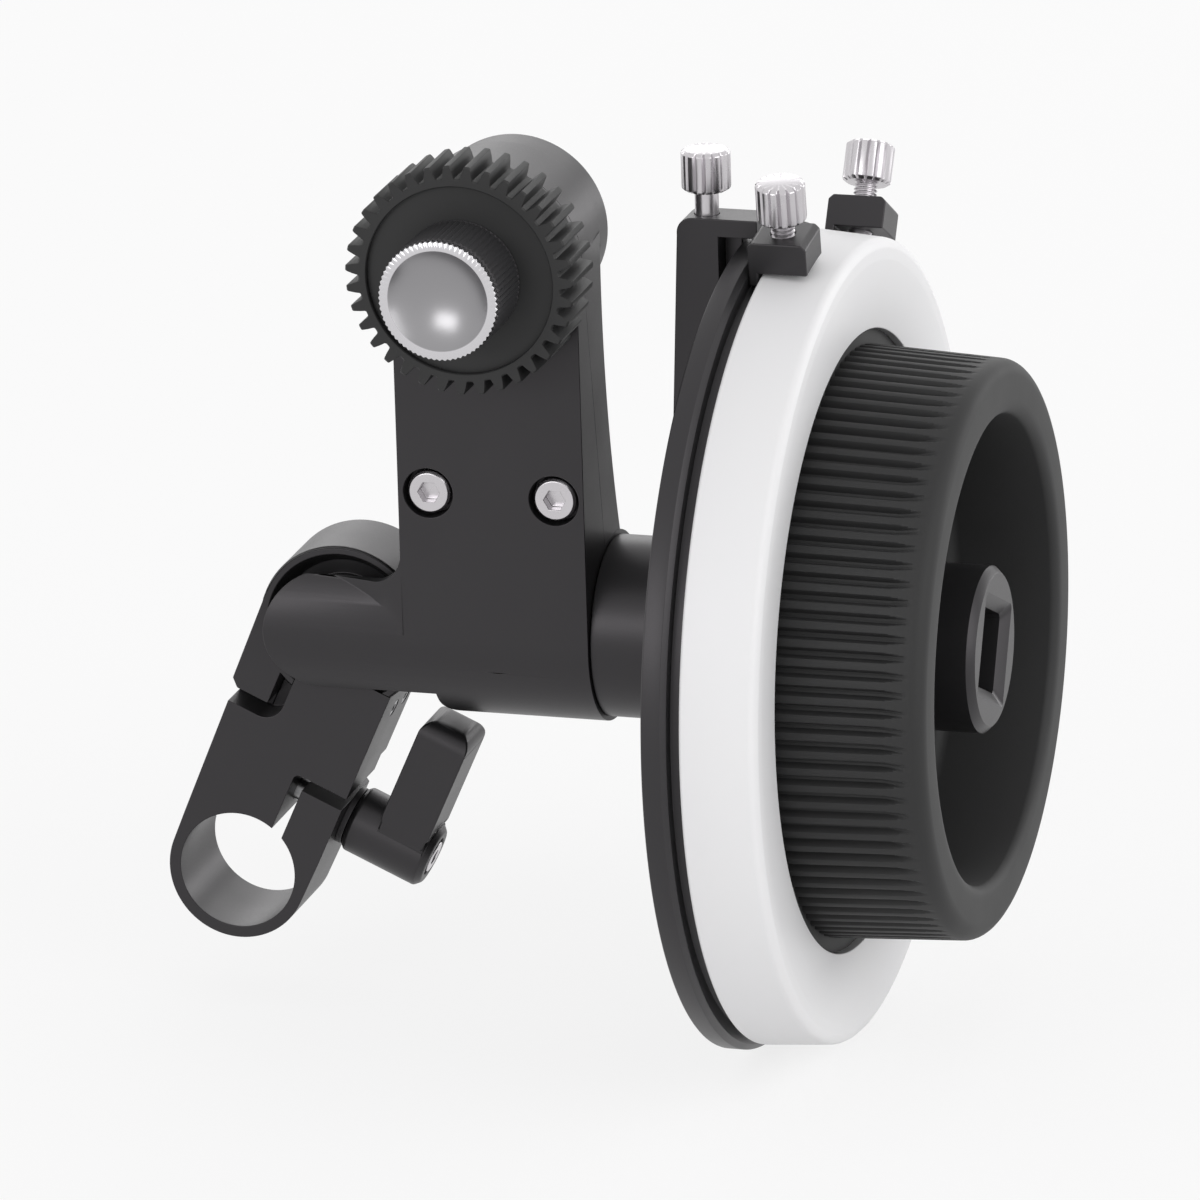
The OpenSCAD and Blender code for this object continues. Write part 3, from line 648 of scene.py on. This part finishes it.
class Shop:
    """Where pieces are finished: it knows the CAD frame and the finishes."""

    # Faces that meet at less than FLAT degrees become one, and an edge over SHARP degrees is
    # broken into STRIPS strips.
    FLAT, SHARP, STRIPS = 0.4, 28.0, 3

    def __init__(self, frame: dict, finishes: Finishes) -> None:
        """Keeps the frame and the record's slots and bodies.

        Args:
            finishes: the materials.
        """
        self.nodes = frame["nodes"]
        self.done: set[str] = set()
        self.finishes = finishes
        record = frame["record"]
        self.slots = {p["node"]: p["material_slot"] for p in record["subparts"]}
        self.body = {n: b for b, ns in record["behaviour"]["bodies"].items() for n in ns}

    def plain(self, node: str) -> None:
        """Keeps a CAD node as it is and gives it its finish."""
        self.finishes.paint(self.nodes[node], self.slots[node])
        LOG.info("kept %s", node)

    def swap(self, obj: bpy.types.Object, node: str, slot: str | None = None) -> None:
        """Puts a modelled piece in a CAD node's place.

        Args:
            obj: the modelled piece.
            node: the CAD node that it stands for.
            slot: its finish, if not the node's own.
        """
        self.finishes.paint(obj, slot or self.slots[node])
        self.done.add(node)
        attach(obj, self.body[node])
        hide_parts(node)
        LOG.info("modelled %s for %s", obj.name, node)

    def eased(self, node: str, width: float) -> None:
        """Puts a copy of a CAD node with merged faces and broken edges in its place.

        Args:
            node: the CAD node.
            width: width of the broken edges in millimetres.
        """
        mesh = self.nodes[node].data.copy()
        mesh.name = node + "_eased"
        bm = bmesh.new()
        bm.from_mesh(mesh)
        bmesh.ops.remove_doubles(bm, verts=bm.verts[:], dist=MERGE)
        bmesh.ops.dissolve_limit(bm, angle_limit=math.radians(self.FLAT), verts=bm.verts[:],
                                 edges=bm.edges[:], use_dissolve_boundaries=False)
        shade(bm, self.SHARP)
        bm.to_mesh(mesh)
        bm.free()
        obj = shown(mesh.name, mesh)
        bevel = obj.modifiers.new("eased", "BEVEL")
        bevel.width = width * MM
        bevel.segments = self.STRIPS
        bevel.limit_method = "ANGLE"
        bevel.angle_limit = math.radians(self.SHARP)
        bevel.harden_normals = True
        bevel.use_clamp_overlap = False
        bevel.miter_outer = "MITER_SHARP"
        self.swap(obj, node)


# ---- outlines ---------------------------------------------------------------


@dataclass(frozen=True)
class Ribs:
    """A ring of equal ribs with grooves between them.

    Args:
        count: number of ribs.
        depth: depth of the grooves in millimetres.
        shares: places across one pitch where points are set, 0 and 1 on rib tops.
        edge: share of the pitch where the groove starts.
        steep: share of the pitch where its steep flank ends.
        wall: share of the depth that the steep flank takes.
    """

    count: int
    depth: float
    shares: tuple[float, ...] = (0, 0.14, 0.2, 0.25, 0.31, 0.38, 0.5, 0.62, 0.69, 0.75, 0.8, 0.86)
    edge: float = 0.17
    steep: float = 0.4
    wall: float = 0.82

    def cut(self, share: float) -> float:
        """Returns how deep the groove is, 0 to 1, at a place across the pitch."""
        off = min(share, 1 - share)
        flank, floor = smooth(off, self.edge, self.steep), smooth(off, self.edge, 0.5)
        return self.wall * flank + (1 - self.wall) * floor

    def outline(self, radius: float, lift: float = 0.0) -> list[Point]:
        """Returns the ribbed outline.

        Args:
            radius: radius over the ribs.
            lift: how much shallower the grooves are here, in millimetres.
        """
        out = []
        for i in range(self.count):
            for share in self.shares:
                angle = math.tau * (i + share) / self.count
                r = radius - max(0.0, self.depth * self.cut(share) - lift)
                out.append((r * math.cos(angle), r * math.sin(angle)))
        return out

    def ring(self, radius: float) -> list[Point]:
        """Returns a plain circle with the same points as the ribbed outline."""
        return self.outline(radius, self.depth)

    def edge_rings(self, start: float, way: int, radius: float, corners: Sequence[Corner]) -> list[Ring]:
        """Returns the rings of a shaped edge.

        Args:
            start: the place on the axis that the edge is measured from.
            way: 1 or -1, the direction in which it is measured.
            radius: radius over the ribs.
            corners: (distance, width under the radius, lift of the grooves) of each ring.
        """
        return [(start + way * far, self.outline(radius - under, lift)) for far, under, lift in corners]


KNURL = Ribs(68, 0.22, (0, 0.25, 0.5, 0.75), 0.0, 0.5)
FLUTES = Ribs(16, 0.36, (0, 0.2, 0.29, 0.36, 0.43, 0.5, 0.57, 0.64, 0.71, 0.8), 0.26, 0.5)


@dataclass(frozen=True)
class GearTeeth:
    """Teeth of a spur gear with rounded tips and roots.

    Args:
        count: number of teeth.
        module: the gear's module in millimetres.
        phase: place of the first tooth in degrees.
        over: height over the pitch circle in modules.
        under: depth under the pitch circle in modules.
        waist: depth of the flank's middle corner in millimetres.
        halves: half widths at root, waist and tip in modules.
        softs: roundings at root, waist and tip in millimetres.
    """

    count: int = 35
    module: float = 0.8
    phase: float = 1.8
    over: float = 0.9
    under: float = 1.2
    waist: float = 0.1
    halves: tuple[float, float, float] = (0.98, 0.77, 0.48)
    softs: tuple[float, float, float] = (0.25, 0.5, 0.2)

    def outline(self) -> list[Point]:
        """Returns the toothed outline."""
        m = self.module
        pitch = self.count * m / 2
        levels = (pitch - self.under * m, pitch - self.waist, pitch + self.over * m)
        far = list(zip(levels, self.halves, self.softs))
        near = [(r, -half, soft) for r, half, soft in far]
        step = math.tau / self.count
        corners = []
        for i in range(self.count):
            middle = i * step + math.radians(self.phase)
            for r, half, soft in near + far[::-1]:
                angle = middle + half * m / r
                corners.append((r * math.cos(angle), r * math.sin(angle), soft))
        return fillet(corners, 2)

    def ring(self, radius: float) -> list[Point]:
        """Returns a circle with one point on each ray of the toothed outline."""
        lengths = [(x, z, math.hypot(x, z)) for x, z in self.outline()]
        return [(radius * x / length, radius * z / length) for x, z, length in lengths]


# ---- pieces -----------------------------------------------------------------


@dataclass(frozen=True)
class HandGrip:
    """The ribbed rubber grip with its rounded rim and bowl.

    Args:
        root: x of the white disc's face beside the grip.
        sunk: how far the flange's back lies under that face.
        flange_l: thickness of the flange.
        rim: x of the rim.
        radius: radius over the ribs at the root.
        taper: loss of radius per millimetre towards the rim.
        flange: radius of the flange in the disc's hole.
        core: radius of the hole behind the bowl's floor.
        bowl: radius of the bowl.
        floor: x of the bowl's floor.
        hub: radius of the hole round the hub.
        lip: rounding of the rim outside.
        mouth: rounding inside, as (depth under the rim, width over the bowl) points.
        cove: rounding of the bowl's floor.
        fade: how far under the rim the grooves start and end to run out.
        places: x of the rings between root and lip, closer where the grooves run out.
        ribs: the ribs.
    """

    root: float = 44.0
    sunk: float = 1.4
    flange_l: float = 0.4
    rim: float = 61.9
    radius: float = 37.2
    taper: float = 0.05
    flange: float = 39.1
    core: float = 20.0
    bowl: float = 29.5
    floor: float = 47.2
    hub: float = 12.0
    lip: float = 2.1
    mouth: tuple[Point, ...] = ((0, 1.9), (0.04, 1.3), (0.18, 0.8), (0.45, 0.4), (0.8, 0.12), (1.2, 0))
    cove: float = 2.0
    fade: Point = (6.0, 1.5)
    places: tuple[float, ...] = (48.0, 52.0, 55.0, 56.4, 57.2, 58.0, 58.7, 59.3, 59.7)
    ribs: Ribs = Ribs(100, 1.0)

    def at(self, x: float) -> float:
        """Returns the radius over the ribs at x."""
        return self.radius - self.taper * (x - self.root)

    def run_out(self, x: float) -> float:
        """Returns how much shallower the grooves are at x."""
        start, end = self.fade
        return self.ribs.depth * smooth(x, self.rim - start, self.rim - end)

    def outside(self) -> list[Ring]:
        """Returns the rings from the flange over the ribs to the rim."""
        ribs = self.ribs
        back = self.root - self.sunk
        front = back + self.flange_l
        rings = [(back, ribs.ring(self.core)), (back, ribs.ring(self.flange)),
                 (front, ribs.ring(self.flange)), (front, ribs.outline(self.radius))]
        for x in (self.root, *self.places):
            rings.append((x, ribs.outline(self.at(x), self.run_out(x))))
        edge = self.rim - self.lip
        seat = self.at(edge) - self.lip
        for sine, cosine in quarter(10):
            x = edge + self.lip * sine
            rings.append((x, ribs.outline(seat + self.lip * cosine, self.run_out(x))))
        return rings

    def inside(self) -> list[Ring]:
        """Returns the rings from the rim down the bowl and out through its floor."""
        ring = self.ribs.ring
        rings = [(self.rim - depth, ring(self.bowl + width)) for depth, width in self.mouth]
        wall, foot = self.bowl - self.cove, self.floor + self.cove
        rings.append((foot, ring(self.bowl)))
        for sine, cosine in quarter(5):
            rings.append((foot - self.cove * sine, ring(wall + self.cove * cosine)))
        rings += [(self.floor, ring(self.hub)), (self.root, ring(self.hub)), (self.root, ring(self.core))]
        return rings

    def dress(self, shop: Shop) -> None:
        """Builds the grip and puts it in its node's place."""
        sketch = Sketch("grip_modelled").loft(self.outside() + self.inside(), Axis.X, join=True)
        shop.swap(sketch.finish(24.0), "hand_grip")


@dataclass(frozen=True)
class Discs:
    """The black rear disc and the white marking disc.

    Args:
        back: x of the rear disc's back.
        groove: x of the groove between the discs.
        mark: x of the white disc's back.
        face: x of the white disc's rim.
        rear_r: radius of the rear disc.
        slope: length and height of the chamfer on the rear disc's front.
        neck: how far the rear disc's neck lies under the white disc's edge.
        bore: radius of the rear disc's bore.
        mark_r: radius of the white disc.
        rim: corners of its rim, as (depth under the face, width under the radius, rounding).
        dish: how far its face sinks towards the grip.
        hole_r: radius of the hole round the grip.
        ledge: depth of that hole.
        core: radius of the hole behind it.
    """

    back: float = 30.6
    groove: float = 33.7
    mark: float = 35.2
    face: float = 44.8
    rear_r: float = 52.0
    slope: Point = (0.62, 0.75)
    neck: float = 1.7
    bore: float = 4.0
    mark_r: float = 51.2
    rim: tuple[Corner, ...] = ((0.5, 0.65, 1.1), (0.0, 1.9, 0.9), (0.0, 3.4, 1.4))
    dish: float = 0.8
    hole_r: float = 39.2
    ledge: float = 1.4
    core: float = 20.0

    def rear(self) -> bpy.types.Object:
        """Returns the rear disc."""
        length, height = self.slope
        neck = self.mark_r - self.neck
        edge = [(self.back, self.bore), (self.back, self.rear_r, 0.35),
                (self.groove - length, self.rear_r, 0.15), (self.groove, self.rear_r - height, 0.15),
                (self.groove, neck, 0.1), (self.mark, neck), (self.mark, self.bore)]
        return Sketch("rear_disc_modelled").turn(fillet(edge, 3), Axis.X, steps=256).finish(25.0)

    def marking(self) -> bpy.types.Object:
        """Returns the white disc with its dished face."""
        root = self.face - self.dish
        rim = [(self.face - depth, self.mark_r - width, soft) for depth, width, soft in self.rim]
        edge = [(self.mark, self.core), (self.mark, self.mark_r, 0.4), *rim, (root, self.hole_r, 0.15),
                (root - self.ledge, self.hole_r), (root - self.ledge, self.core)]
        return Sketch("marking_disc_modelled").turn(fillet(edge, 4), Axis.X, steps=256).finish(25.0)

    def dress(self, shop: Shop) -> None:
        """Builds both discs and puts them in their nodes' places."""
        shop.swap(self.rear(), "rear_disc")
        shop.swap(self.marking(), "marking_disc")


@dataclass(frozen=True)
class DriveGear:
    """The drive gear, its knurled knob and the dished cap.

    Args:
        height: z of the gear's axis.
        front: y of the gear's front face.
        back: y of its back face.
        slim: share of the outline that is left on its faces, past the chamfer.
        ease: length of that chamfer.
        recess: radius of the sunk middle of its face.
        brim: chamfer round the sunk middle.
        sink: depth of the sunk middle.
        bore: radius of the gear's bore.
        knob_r: radius of the knob.
        knob_l: length of the knob in front of the sunk face.
        knob_bore: radius of the knob's bore.
        foot: edge of the knob at the gear, as Ribs.edge_rings() takes it.
        groove: the groove between knob and cap, from the cap's rim.
        cup: radius and depth of the cup that the cap's plug sits in.
        plug: radius of the plug.
        cap_l: length of the cap's rim.
        brow: front edge of the cap.
        dish_r: radius of the dish's edge.
        dish_lip: width of the flat lip round the dish.
        dish_round: radius of the ball that the dish is part of.
        teeth: the gear's teeth.
    """

    height: float = 51.0
    front: float = -22.07
    back: float = -13.27
    slim: float = 0.985
    ease: float = 0.2
    recess: float = 12.0
    brim: float = 0.12
    sink: float = 0.8
    bore: float = 2.5
    knob_r: float = 7.65
    knob_l: float = 9.6
    knob_bore: float = 2.6
    foot: tuple[Corner, ...] = ((0.0, 0.1, KNURL.depth), (0.2, 0.0, 0.1), (0.3, 0.0, 0.0))
    groove: tuple[Corner, ...] = ((0.65, 0.0, 0.0), (0.5, 0.3, KNURL.depth), (0.0, 0.35, KNURL.depth))
    cup: Point = (6.25, 3.4)
    plug: float = 6.2
    cap_l: float = 0.8
    brow: tuple[Corner, ...] = ((0.16, 0.0, 0.0), (0.05, 0.05, 0.04), (0.0, 0.17, 0.14))
    dish_r: float = 6.4
    dish_lip: float = 0.06
    dish_round: float = 9.6
    teeth: GearTeeth = GearTeeth()

    @property
    def sunk(self) -> float:
        """y of the sunk middle of the gear's face."""
        return self.front + self.sink

    @property
    def tip(self) -> float:
        """y of the cap's front."""
        return self.sunk - self.knob_l

    def gear(self) -> bpy.types.Object:
        """Returns the toothed wheel."""
        outer = self.teeth.outline()
        ring = self.teeth.ring
        slim = [(x * self.slim, z * self.slim) for x, z in outer]
        rings = [(self.back, ring(self.bore)), (self.back, slim), (self.back - self.ease, outer),
                 (self.front + self.ease, outer), (self.front, slim),
                 (self.front, ring(self.recess + self.brim)),
                 (self.front + self.brim, ring(self.recess)), (self.sunk, ring(self.recess)),
                 (self.sunk, ring(self.bore))]
        sketch = Sketch("drive_gear_modelled").loft(rings, Axis.Y, (0, 0, self.height), join=True)
        return sketch.finish(32.0)

    def knob(self) -> bpy.types.Object:
        """Returns the knurled knob."""
        cup_r, cup_l = self.cup
        rim, cup = self.tip + self.cap_l, self.tip + cup_l
        rings = [(self.sunk, KNURL.ring(self.knob_bore)),
                 *KNURL.edge_rings(self.sunk, -1, self.knob_r, self.foot),
                 *KNURL.edge_rings(rim, 1, self.knob_r, self.groove),
                 (rim, KNURL.ring(cup_r)), (cup, KNURL.ring(cup_r)), (cup, KNURL.ring(self.knob_bore))]
        sketch = Sketch("gear_knob_modelled").loft(rings, Axis.Y, (0, 0, self.height), join=True)
        return sketch.finish(20.0)

    def cap(self) -> bpy.types.Object:
        """Returns the bright cap with its knurled rim and its round dish."""
        ring, tip = KNURL.ring, self.tip
        rim, plug = tip + self.cap_l, tip + self.cup[1]
        rings = [(plug, ring(0.0)), (plug, ring(self.plug)), (rim, ring(self.plug)),
                 (rim, KNURL.outline(self.knob_r)), *KNURL.edge_rings(tip, 1, self.knob_r, self.brow),
                 (tip, ring(self.dish_r + self.dish_lip))]
        steps = 16
        low = math.sqrt(self.dish_round ** 2 - self.dish_r ** 2)
        for step in range(steps + 1):
            reach = self.dish_r * (1 - step / steps)
            rings.append((tip + math.sqrt(self.dish_round ** 2 - reach ** 2) - low, ring(reach)))
        sketch = Sketch("knob_cap_modelled").loft(rings, Axis.Y, (0, 0, self.height))
        return sketch.finish(35.0)

    def dress(self, shop: Shop) -> None:
        """Builds gear, knob and cap and puts them in their nodes' places."""
        shop.swap(self.gear(), "drive_gear")
        # The knob takes the black anodising painted lighter, as painted light.
        shop.swap(self.knob(), "gear_knob", "knurled")
        shop.swap(self.cap(), "gear_knob_cap", "turned_cap")


@dataclass(frozen=True)
class WheelHub:
    """The hub that stands out of the bowl, with its square crank socket.

    Args:
        back: x of its back.
        root: x where its wide foot ends.
        floor: x of the bowl's floor.
        face: x of its face.
        radius: radius of the hub.
        bevel: size of the bevel round its face.
        ease: two short lengths that ease the bevel's corners.
        foot: radius of the foot inside the grip.
        toe: length of the slope from the foot to the hub.
        seat: radius of the seat inside the white disc.
        bore: radius of the shaft's bore.
        bore_end: depth under the face where the bore ends.
        socket: the square socket from mouth to floor, as (depth, side) pairs.
        corner: how much the square's corners are cut back.
        lean: turn of the square in degrees.
        points: points round each ring, a multiple of 8.
    """

    back: float = 35.2
    root: float = 44.0
    floor: float = 47.2
    face: float = 61.35
    radius: float = 10.5
    bevel: float = 0.95
    ease: Point = (0.1, 0.06)
    foot: float = 11.8
    toe: float = 0.4
    seat: float = 19.8
    bore: float = 4.0
    bore_end: float = 9.0
    socket: tuple[Point, ...] = ((0.0, 13.1), (0.05, 13.0), (0.95, 10.1), (1.02, 10.0), (7.0, 10.0))
    corner: float = 0.35
    lean: float = -25.0
    points: int = 128

    def trace(self, reach: Iterable[float]) -> list[Point]:
        """Returns the points at these distances from the axis, one on each ray."""
        start, step = math.radians(self.lean), math.tau / self.points
        rays = [(r, start + i * step) for i, r in enumerate(reach)]
        return [(r * math.cos(angle), r * math.sin(angle)) for r, angle in rays]

    def ring(self, radius: float) -> list[Point]:
        """Returns a circle."""
        return self.trace([radius] * self.points)

    def square(self, side: float) -> list[Point]:
        """Returns a square with cut-back corners."""
        limit = side * math.sqrt(0.5) - self.corner
        turns = [math.tau * i / self.points for i in range(self.points)]
        reach = [side / 2 / max(abs(math.cos(turn)), abs(math.sin(turn))) for turn in turns]
        return self.trace([min(r, limit) for r in reach])

    def dress(self, shop: Shop) -> None:
        """Builds the hub and puts it in its node's place."""
        end, r, ring = self.face, self.radius, self.ring
        bore_end, bevel, deepest = end - self.bore_end, self.bevel, self.socket[-1][0]
        along, down = self.ease
        rings = [(bore_end, ring(0.0)), (bore_end, ring(self.bore)), (self.back, ring(self.bore)),
                 (self.back, ring(self.seat)), (self.root, ring(self.seat)),
                 (self.root, ring(self.foot)), (self.floor - self.toe, ring(self.foot)),
                 (self.floor, ring(r)), (end - bevel, ring(r)), (end - bevel + along, ring(r - down)),
                 (end - down, ring(r - bevel + along)), (end, ring(r - bevel)),
                 *((end - depth, self.square(side)) for depth, side in self.socket),
                 (end - deepest, ring(0.0))]
        sketch = Sketch("wheel_hub_modelled").loft(rings, Axis.X)
        shop.swap(sketch.finish(24.0), "wheel_hub")


@dataclass(frozen=True)
class Bushings:
    """The two bushings of the cross shaft, chamfered so that they stay under the barrel's skin.

    Args:
        starts: y of each bushing's front.
        length: length of one.
        radius: its outer radius.
        bore: its bore's radius.
        chamfer: chamfer of its outer edges.
    """

    starts: Point = (-11.6, 8.6)
    length: float = 2.6
    radius: float = 3.5
    bore: float = 2.05
    chamfer: float = 0.4

    def dress(self, shop: Shop) -> None:
        """Builds the pair and puts it in its node's place."""
        sketch = Sketch("bushings_modelled")
        c = self.chamfer
        for y in self.starts:
            end = y + self.length
            sketch.turn([(y, self.bore), (y, self.radius - c), (y + c, self.radius),
                         (end - c, self.radius), (end, self.radius - c), (end, self.bore)],
                        Axis.Y, steps=64)
        shop.swap(sketch.finish(), "cross_shaft_bushings")


@dataclass(frozen=True)
class Thumbscrew:
    """A small screw with a fluted head.

    Args:
        name: the CAD node that it stands for.
        x: place along the wheel axis.
        y: place along the rod.
        seat: height of its seat.
        below: length under the seat.
        neck: free length over the seat.
        lean: turn about the wheel axis in degrees.
        threaded: whether the neck shows its thread.
        head_l: length of the head.
        head_r: radius of the head.
        under: lower edge of the head, as Ribs.edge_rings() takes it.
        crown: upper edge of the head.
        shank: radius of the shank.
        tip: chamfer of the shank's end.
        plain: lengths of shank left plain under and over the thread.
        thread: one turn of the thread, as (height, radius) points.
        pitch: pitch of the thread.
        hold: how far the shank runs into the head.
    """

    name: str
    x: float
    y: float
    seat: float
    below: float
    neck: float
    lean: float = 0.0
    threaded: bool = True
    head_l: float = 5.2
    head_r: float = 3.1
    under: tuple[Corner, ...] = ((0.0, 0.5, 0.25), (0.3, 0.06, 0.0), (0.45, 0.0, 0.0))
    crown: tuple[Corner, ...] = ((0.42, 0.0, 0.0), (0.3, 0.06, 0.0), (0.03, 0.42, 0.14), (0.0, 0.5, 0.2))
    shank: float = 1.5
    tip: float = 0.3
    plain: Point = (0.45, 0.3)
    thread: tuple[Point, ...] = ((0.0, 1.5), (0.2, 1.24), (0.27, 1.24), (0.45, 1.5))
    pitch: float = 0.5
    hold: float = 0.1

    def head(self) -> list[Ring]:
        """Returns the rings of the head from its underside to its top."""
        low = self.seat + self.neck
        top = low + self.head_l
        return [(low, FLUTES.ring(0.0)), (low, FLUTES.ring(self.shank - self.hold)),
                *FLUTES.edge_rings(low, 1, self.head_r, self.under),
                *FLUTES.edge_rings(top, -1, self.head_r, self.crown), (top, FLUTES.ring(0.0))]

    def stem(self) -> list[Point]:
        """Returns the profile of the shank and its thread."""
        r, low, head = self.shank, self.seat - self.below, self.seat + self.neck
        points = [(low, 0.0), (low, r - self.tip), (low + self.tip, r)]
        first, last = low + self.plain[0], head - self.plain[1]
        while self.threaded and first < last:
            points += [(first + rise, radius) for rise, radius in self.thread]
            first += self.pitch
        return points + [(head + self.hold, r), (head + self.hold, 0.0)]

    def dress(self, shop: Shop) -> None:
        """Builds the screw and puts it in its node's place."""
        centre = (self.x, self.y, 0.0)
        sketch = Sketch(self.name + "_modelled").loft(self.head(), Axis.Z, centre)
        sketch.turn(self.stem(), Axis.Z, centre, 48).tilt(self.lean, Axis.X)
        shop.swap(sketch.finish(26.0), self.name)


# ---- the studio -------------------------------------------------------------


@dataclass(frozen=True)
class Lamp:
    """One soft area lamp.

    Args:
        name: its name.
        place: where it stands, in row metres.
        aim: the point that it faces.
        size: its width and height in metres.
        power: its power in watts.
    """

    name: str
    place: Spot
    aim: Spot
    size: Point
    power: float

    def hang(self) -> None:
        """Puts the lamp in the scene."""
        data = bpy.data.lights.new(self.name, "AREA")
        data.shape = "RECTANGLE"
        data.size, data.size_y = self.size
        data.energy = self.power
        lamp = shown(self.name, data)
        lamp.location = self.place
        way = Vector(self.aim) - Vector(self.place)
        lamp.rotation_euler = way.to_track_quat("-Z", "Y").to_euler()


@dataclass(frozen=True)
class Studio:
    """World, floor, lamps and camera.

    Args:
        eye: the camera's place in the wheel frame, in millimetres.
        look: its azimuth, elevation and roll in degrees.
        lens: focal length in millimetres on the sensor's width.
        sensor: the sensor's width in millimetres.
        clip: nearest and farthest distance that it sees, in metres.
        floor_z: height of the floor in the wheel frame, in millimetres.
        floor_size: half the floor's width in metres.
        pale: colour of the floor.
        glow: how far the floor shows white to the camera, metal and glass.
        soft: strength of the light from all round.
        soft_tone: colour of that light.
        lamps: the lamps.
    """

    eye: Spot = (433.3, -1373.0, 478.3)
    look: Spot = (17.13, 18.30, -1.76)
    lens: float = 361.19
    sensor: float = 36.0
    clip: Point = (0.05, 60.0)
    floor_z: float = -52.15
    floor_size: float = 6.0
    pale: Tone = (0.94, 0.94, 0.94)
    glow: float = 0.8
    soft: float = 0.6
    soft_tone: Tone = (1.0, 0.99, 1.0)
    lamps: tuple[Lamp, ...] = (
        Lamp("key", (-0.6, -1.5, 0.6), (0.03, 0, 0.03), (1.0, 0.6), 5.6),
        Lamp("side", (1.5, -0.5, 0.75), (0.05, 0, 0.03), (1.2, 1.5), 9.0),
        Lamp("back", (-0.3, 1.5, 0.6), (0.03, 0, 0.03), (1.6, 0.7), 4.5),
        Lamp("rim", (0.9, 1.1, 0.2), (0.05, 0, 0.03), (0.6, 0.4), 2.5),
    )

    def camera(self) -> None:
        """Sets the camera at the photo's view."""
        a, e, roll = (math.radians(v) for v in self.look)
        right = Vector((math.cos(a), math.sin(a), 0))
        ahead = Vector((-math.sin(a) * math.cos(e), math.cos(a) * math.cos(e), -math.sin(e)))
        up = right.cross(ahead)
        right, up = (right * math.cos(roll) + up * math.sin(roll),
                     up * math.cos(roll) - right * math.sin(roll))
        data = bpy.data.cameras.new("photo_camera")
        data.lens = self.lens
        data.sensor_width = self.sensor
        data.clip_start, data.clip_end = self.clip
        camera = shown("photo_camera", data)
        camera.matrix_world = Matrix((
            (right.x, up.x, -ahead.x, 0), (right.y, up.y, -ahead.y, 0),
            (right.z, up.z, -ahead.z, 0), (0, 0, 0, 1)))
        camera.location = Sketch.at(self.eye)
        bpy.context.scene.camera = camera

    def world(self) -> None:
        """White where the camera, metal and glass see it, soft grey light for the rest."""
        world = bpy.data.worlds.new("studio")
        n = Nodes("studio", world)
        soft = n.add("ShaderNodeBackground", None, {"Color": (*self.soft_tone, 1.0), "Strength": self.soft})
        white = n.add("ShaderNodeBackground", None, {"Color": (1.0, 1.0, 1.0, 1.0), "Strength": 1.0})
        n.backdrop(soft, white, n.seen(), "ShaderNodeOutputWorld")
        bpy.context.scene.world = world

    def floor(self) -> None:
        """A pale floor that shows near white to the camera and keeps the shadow."""
        bm = bmesh.new()
        bmesh.ops.create_grid(bm, x_segments=1, y_segments=1, size=self.floor_size)
        height = Sketch.at((0, 0, self.floor_z)).z
        bmesh.ops.translate(bm, vec=(0, 0, height), verts=bm.verts[:])
        mesh = bpy.data.meshes.new("floor")
        bm.to_mesh(mesh)
        bm.free()
        n = Nodes("pale_floor")
        diffuse = n.add("ShaderNodeBsdfDiffuse", None, {"Color": (*self.pale, 1.0)})
        white = n.add("ShaderNodeEmission", None, {"Color": (1.0, 1.0, 1.0, 1.0), "Strength": 1.0})
        n.backdrop(diffuse, white, n.seen() * self.glow, "ShaderNodeOutputMaterial")
        mesh.materials.append(n.material)
        shown("floor", mesh)

    def build(self) -> None:
        """Sets everything up."""
        bpy.context.scene.view_settings.view_transform = "Standard"
        self.world()
        self.floor()
        self.camera()
        for lamp in self.lamps:
            lamp.hang()
        LOG.info("studio ready")


SCREWS = (
    Thumbscrew("index_thumbscrew", x=26.0, y=-1.5, seat=55.2, below=6.8, neck=3.1, threaded=False),
    Thumbscrew("front_stop_thumbscrew", x=37.6, y=0.0, seat=55.7, below=4.15, neck=1.75, lean=8.2),
    Thumbscrew("rear_stop_thumbscrew", x=37.6, y=0.0, seat=56.45, below=4.9, neck=2.4, lean=-31.0),
)
# Width in millimetres of the broken edges of the CAD pieces that show.
EASED = {
    "rod_clamp_bracket": 0.1, "swing_knuckle": 0.15, "clamp_lever": 0.22, "gearbox_body": 0.1,
    "gearbox_rear_cover": 0.04, "wheel_collar": 0.2, "index_arm": 0.14, "front_stop_block": 0.2,
    "rear_stop_block": 0.2, "cover_screws": 0.08, "lever_end_screw": 0.1,
    "clamp_washer": 0.1, "pivot_bolt": 0.15,
}


def main() -> None:
    """Builds the scene in order."""
    logging.basicConfig(level=logging.INFO, format="%(name)s: %(message)s")
    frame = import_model()
    shop = Shop(frame, Finishes())
    for assembly in (HandGrip(), Discs(), DriveGear(), WheelHub(), Bushings(), *SCREWS):
        assembly.dress(shop)
    for name, width in EASED.items():
        shop.eased(name, width)
    for name in sorted(shop.nodes):
        if name not in shop.done:
            shop.plain(name)
    Studio().build()


if __name__ == "__main__":
    main()
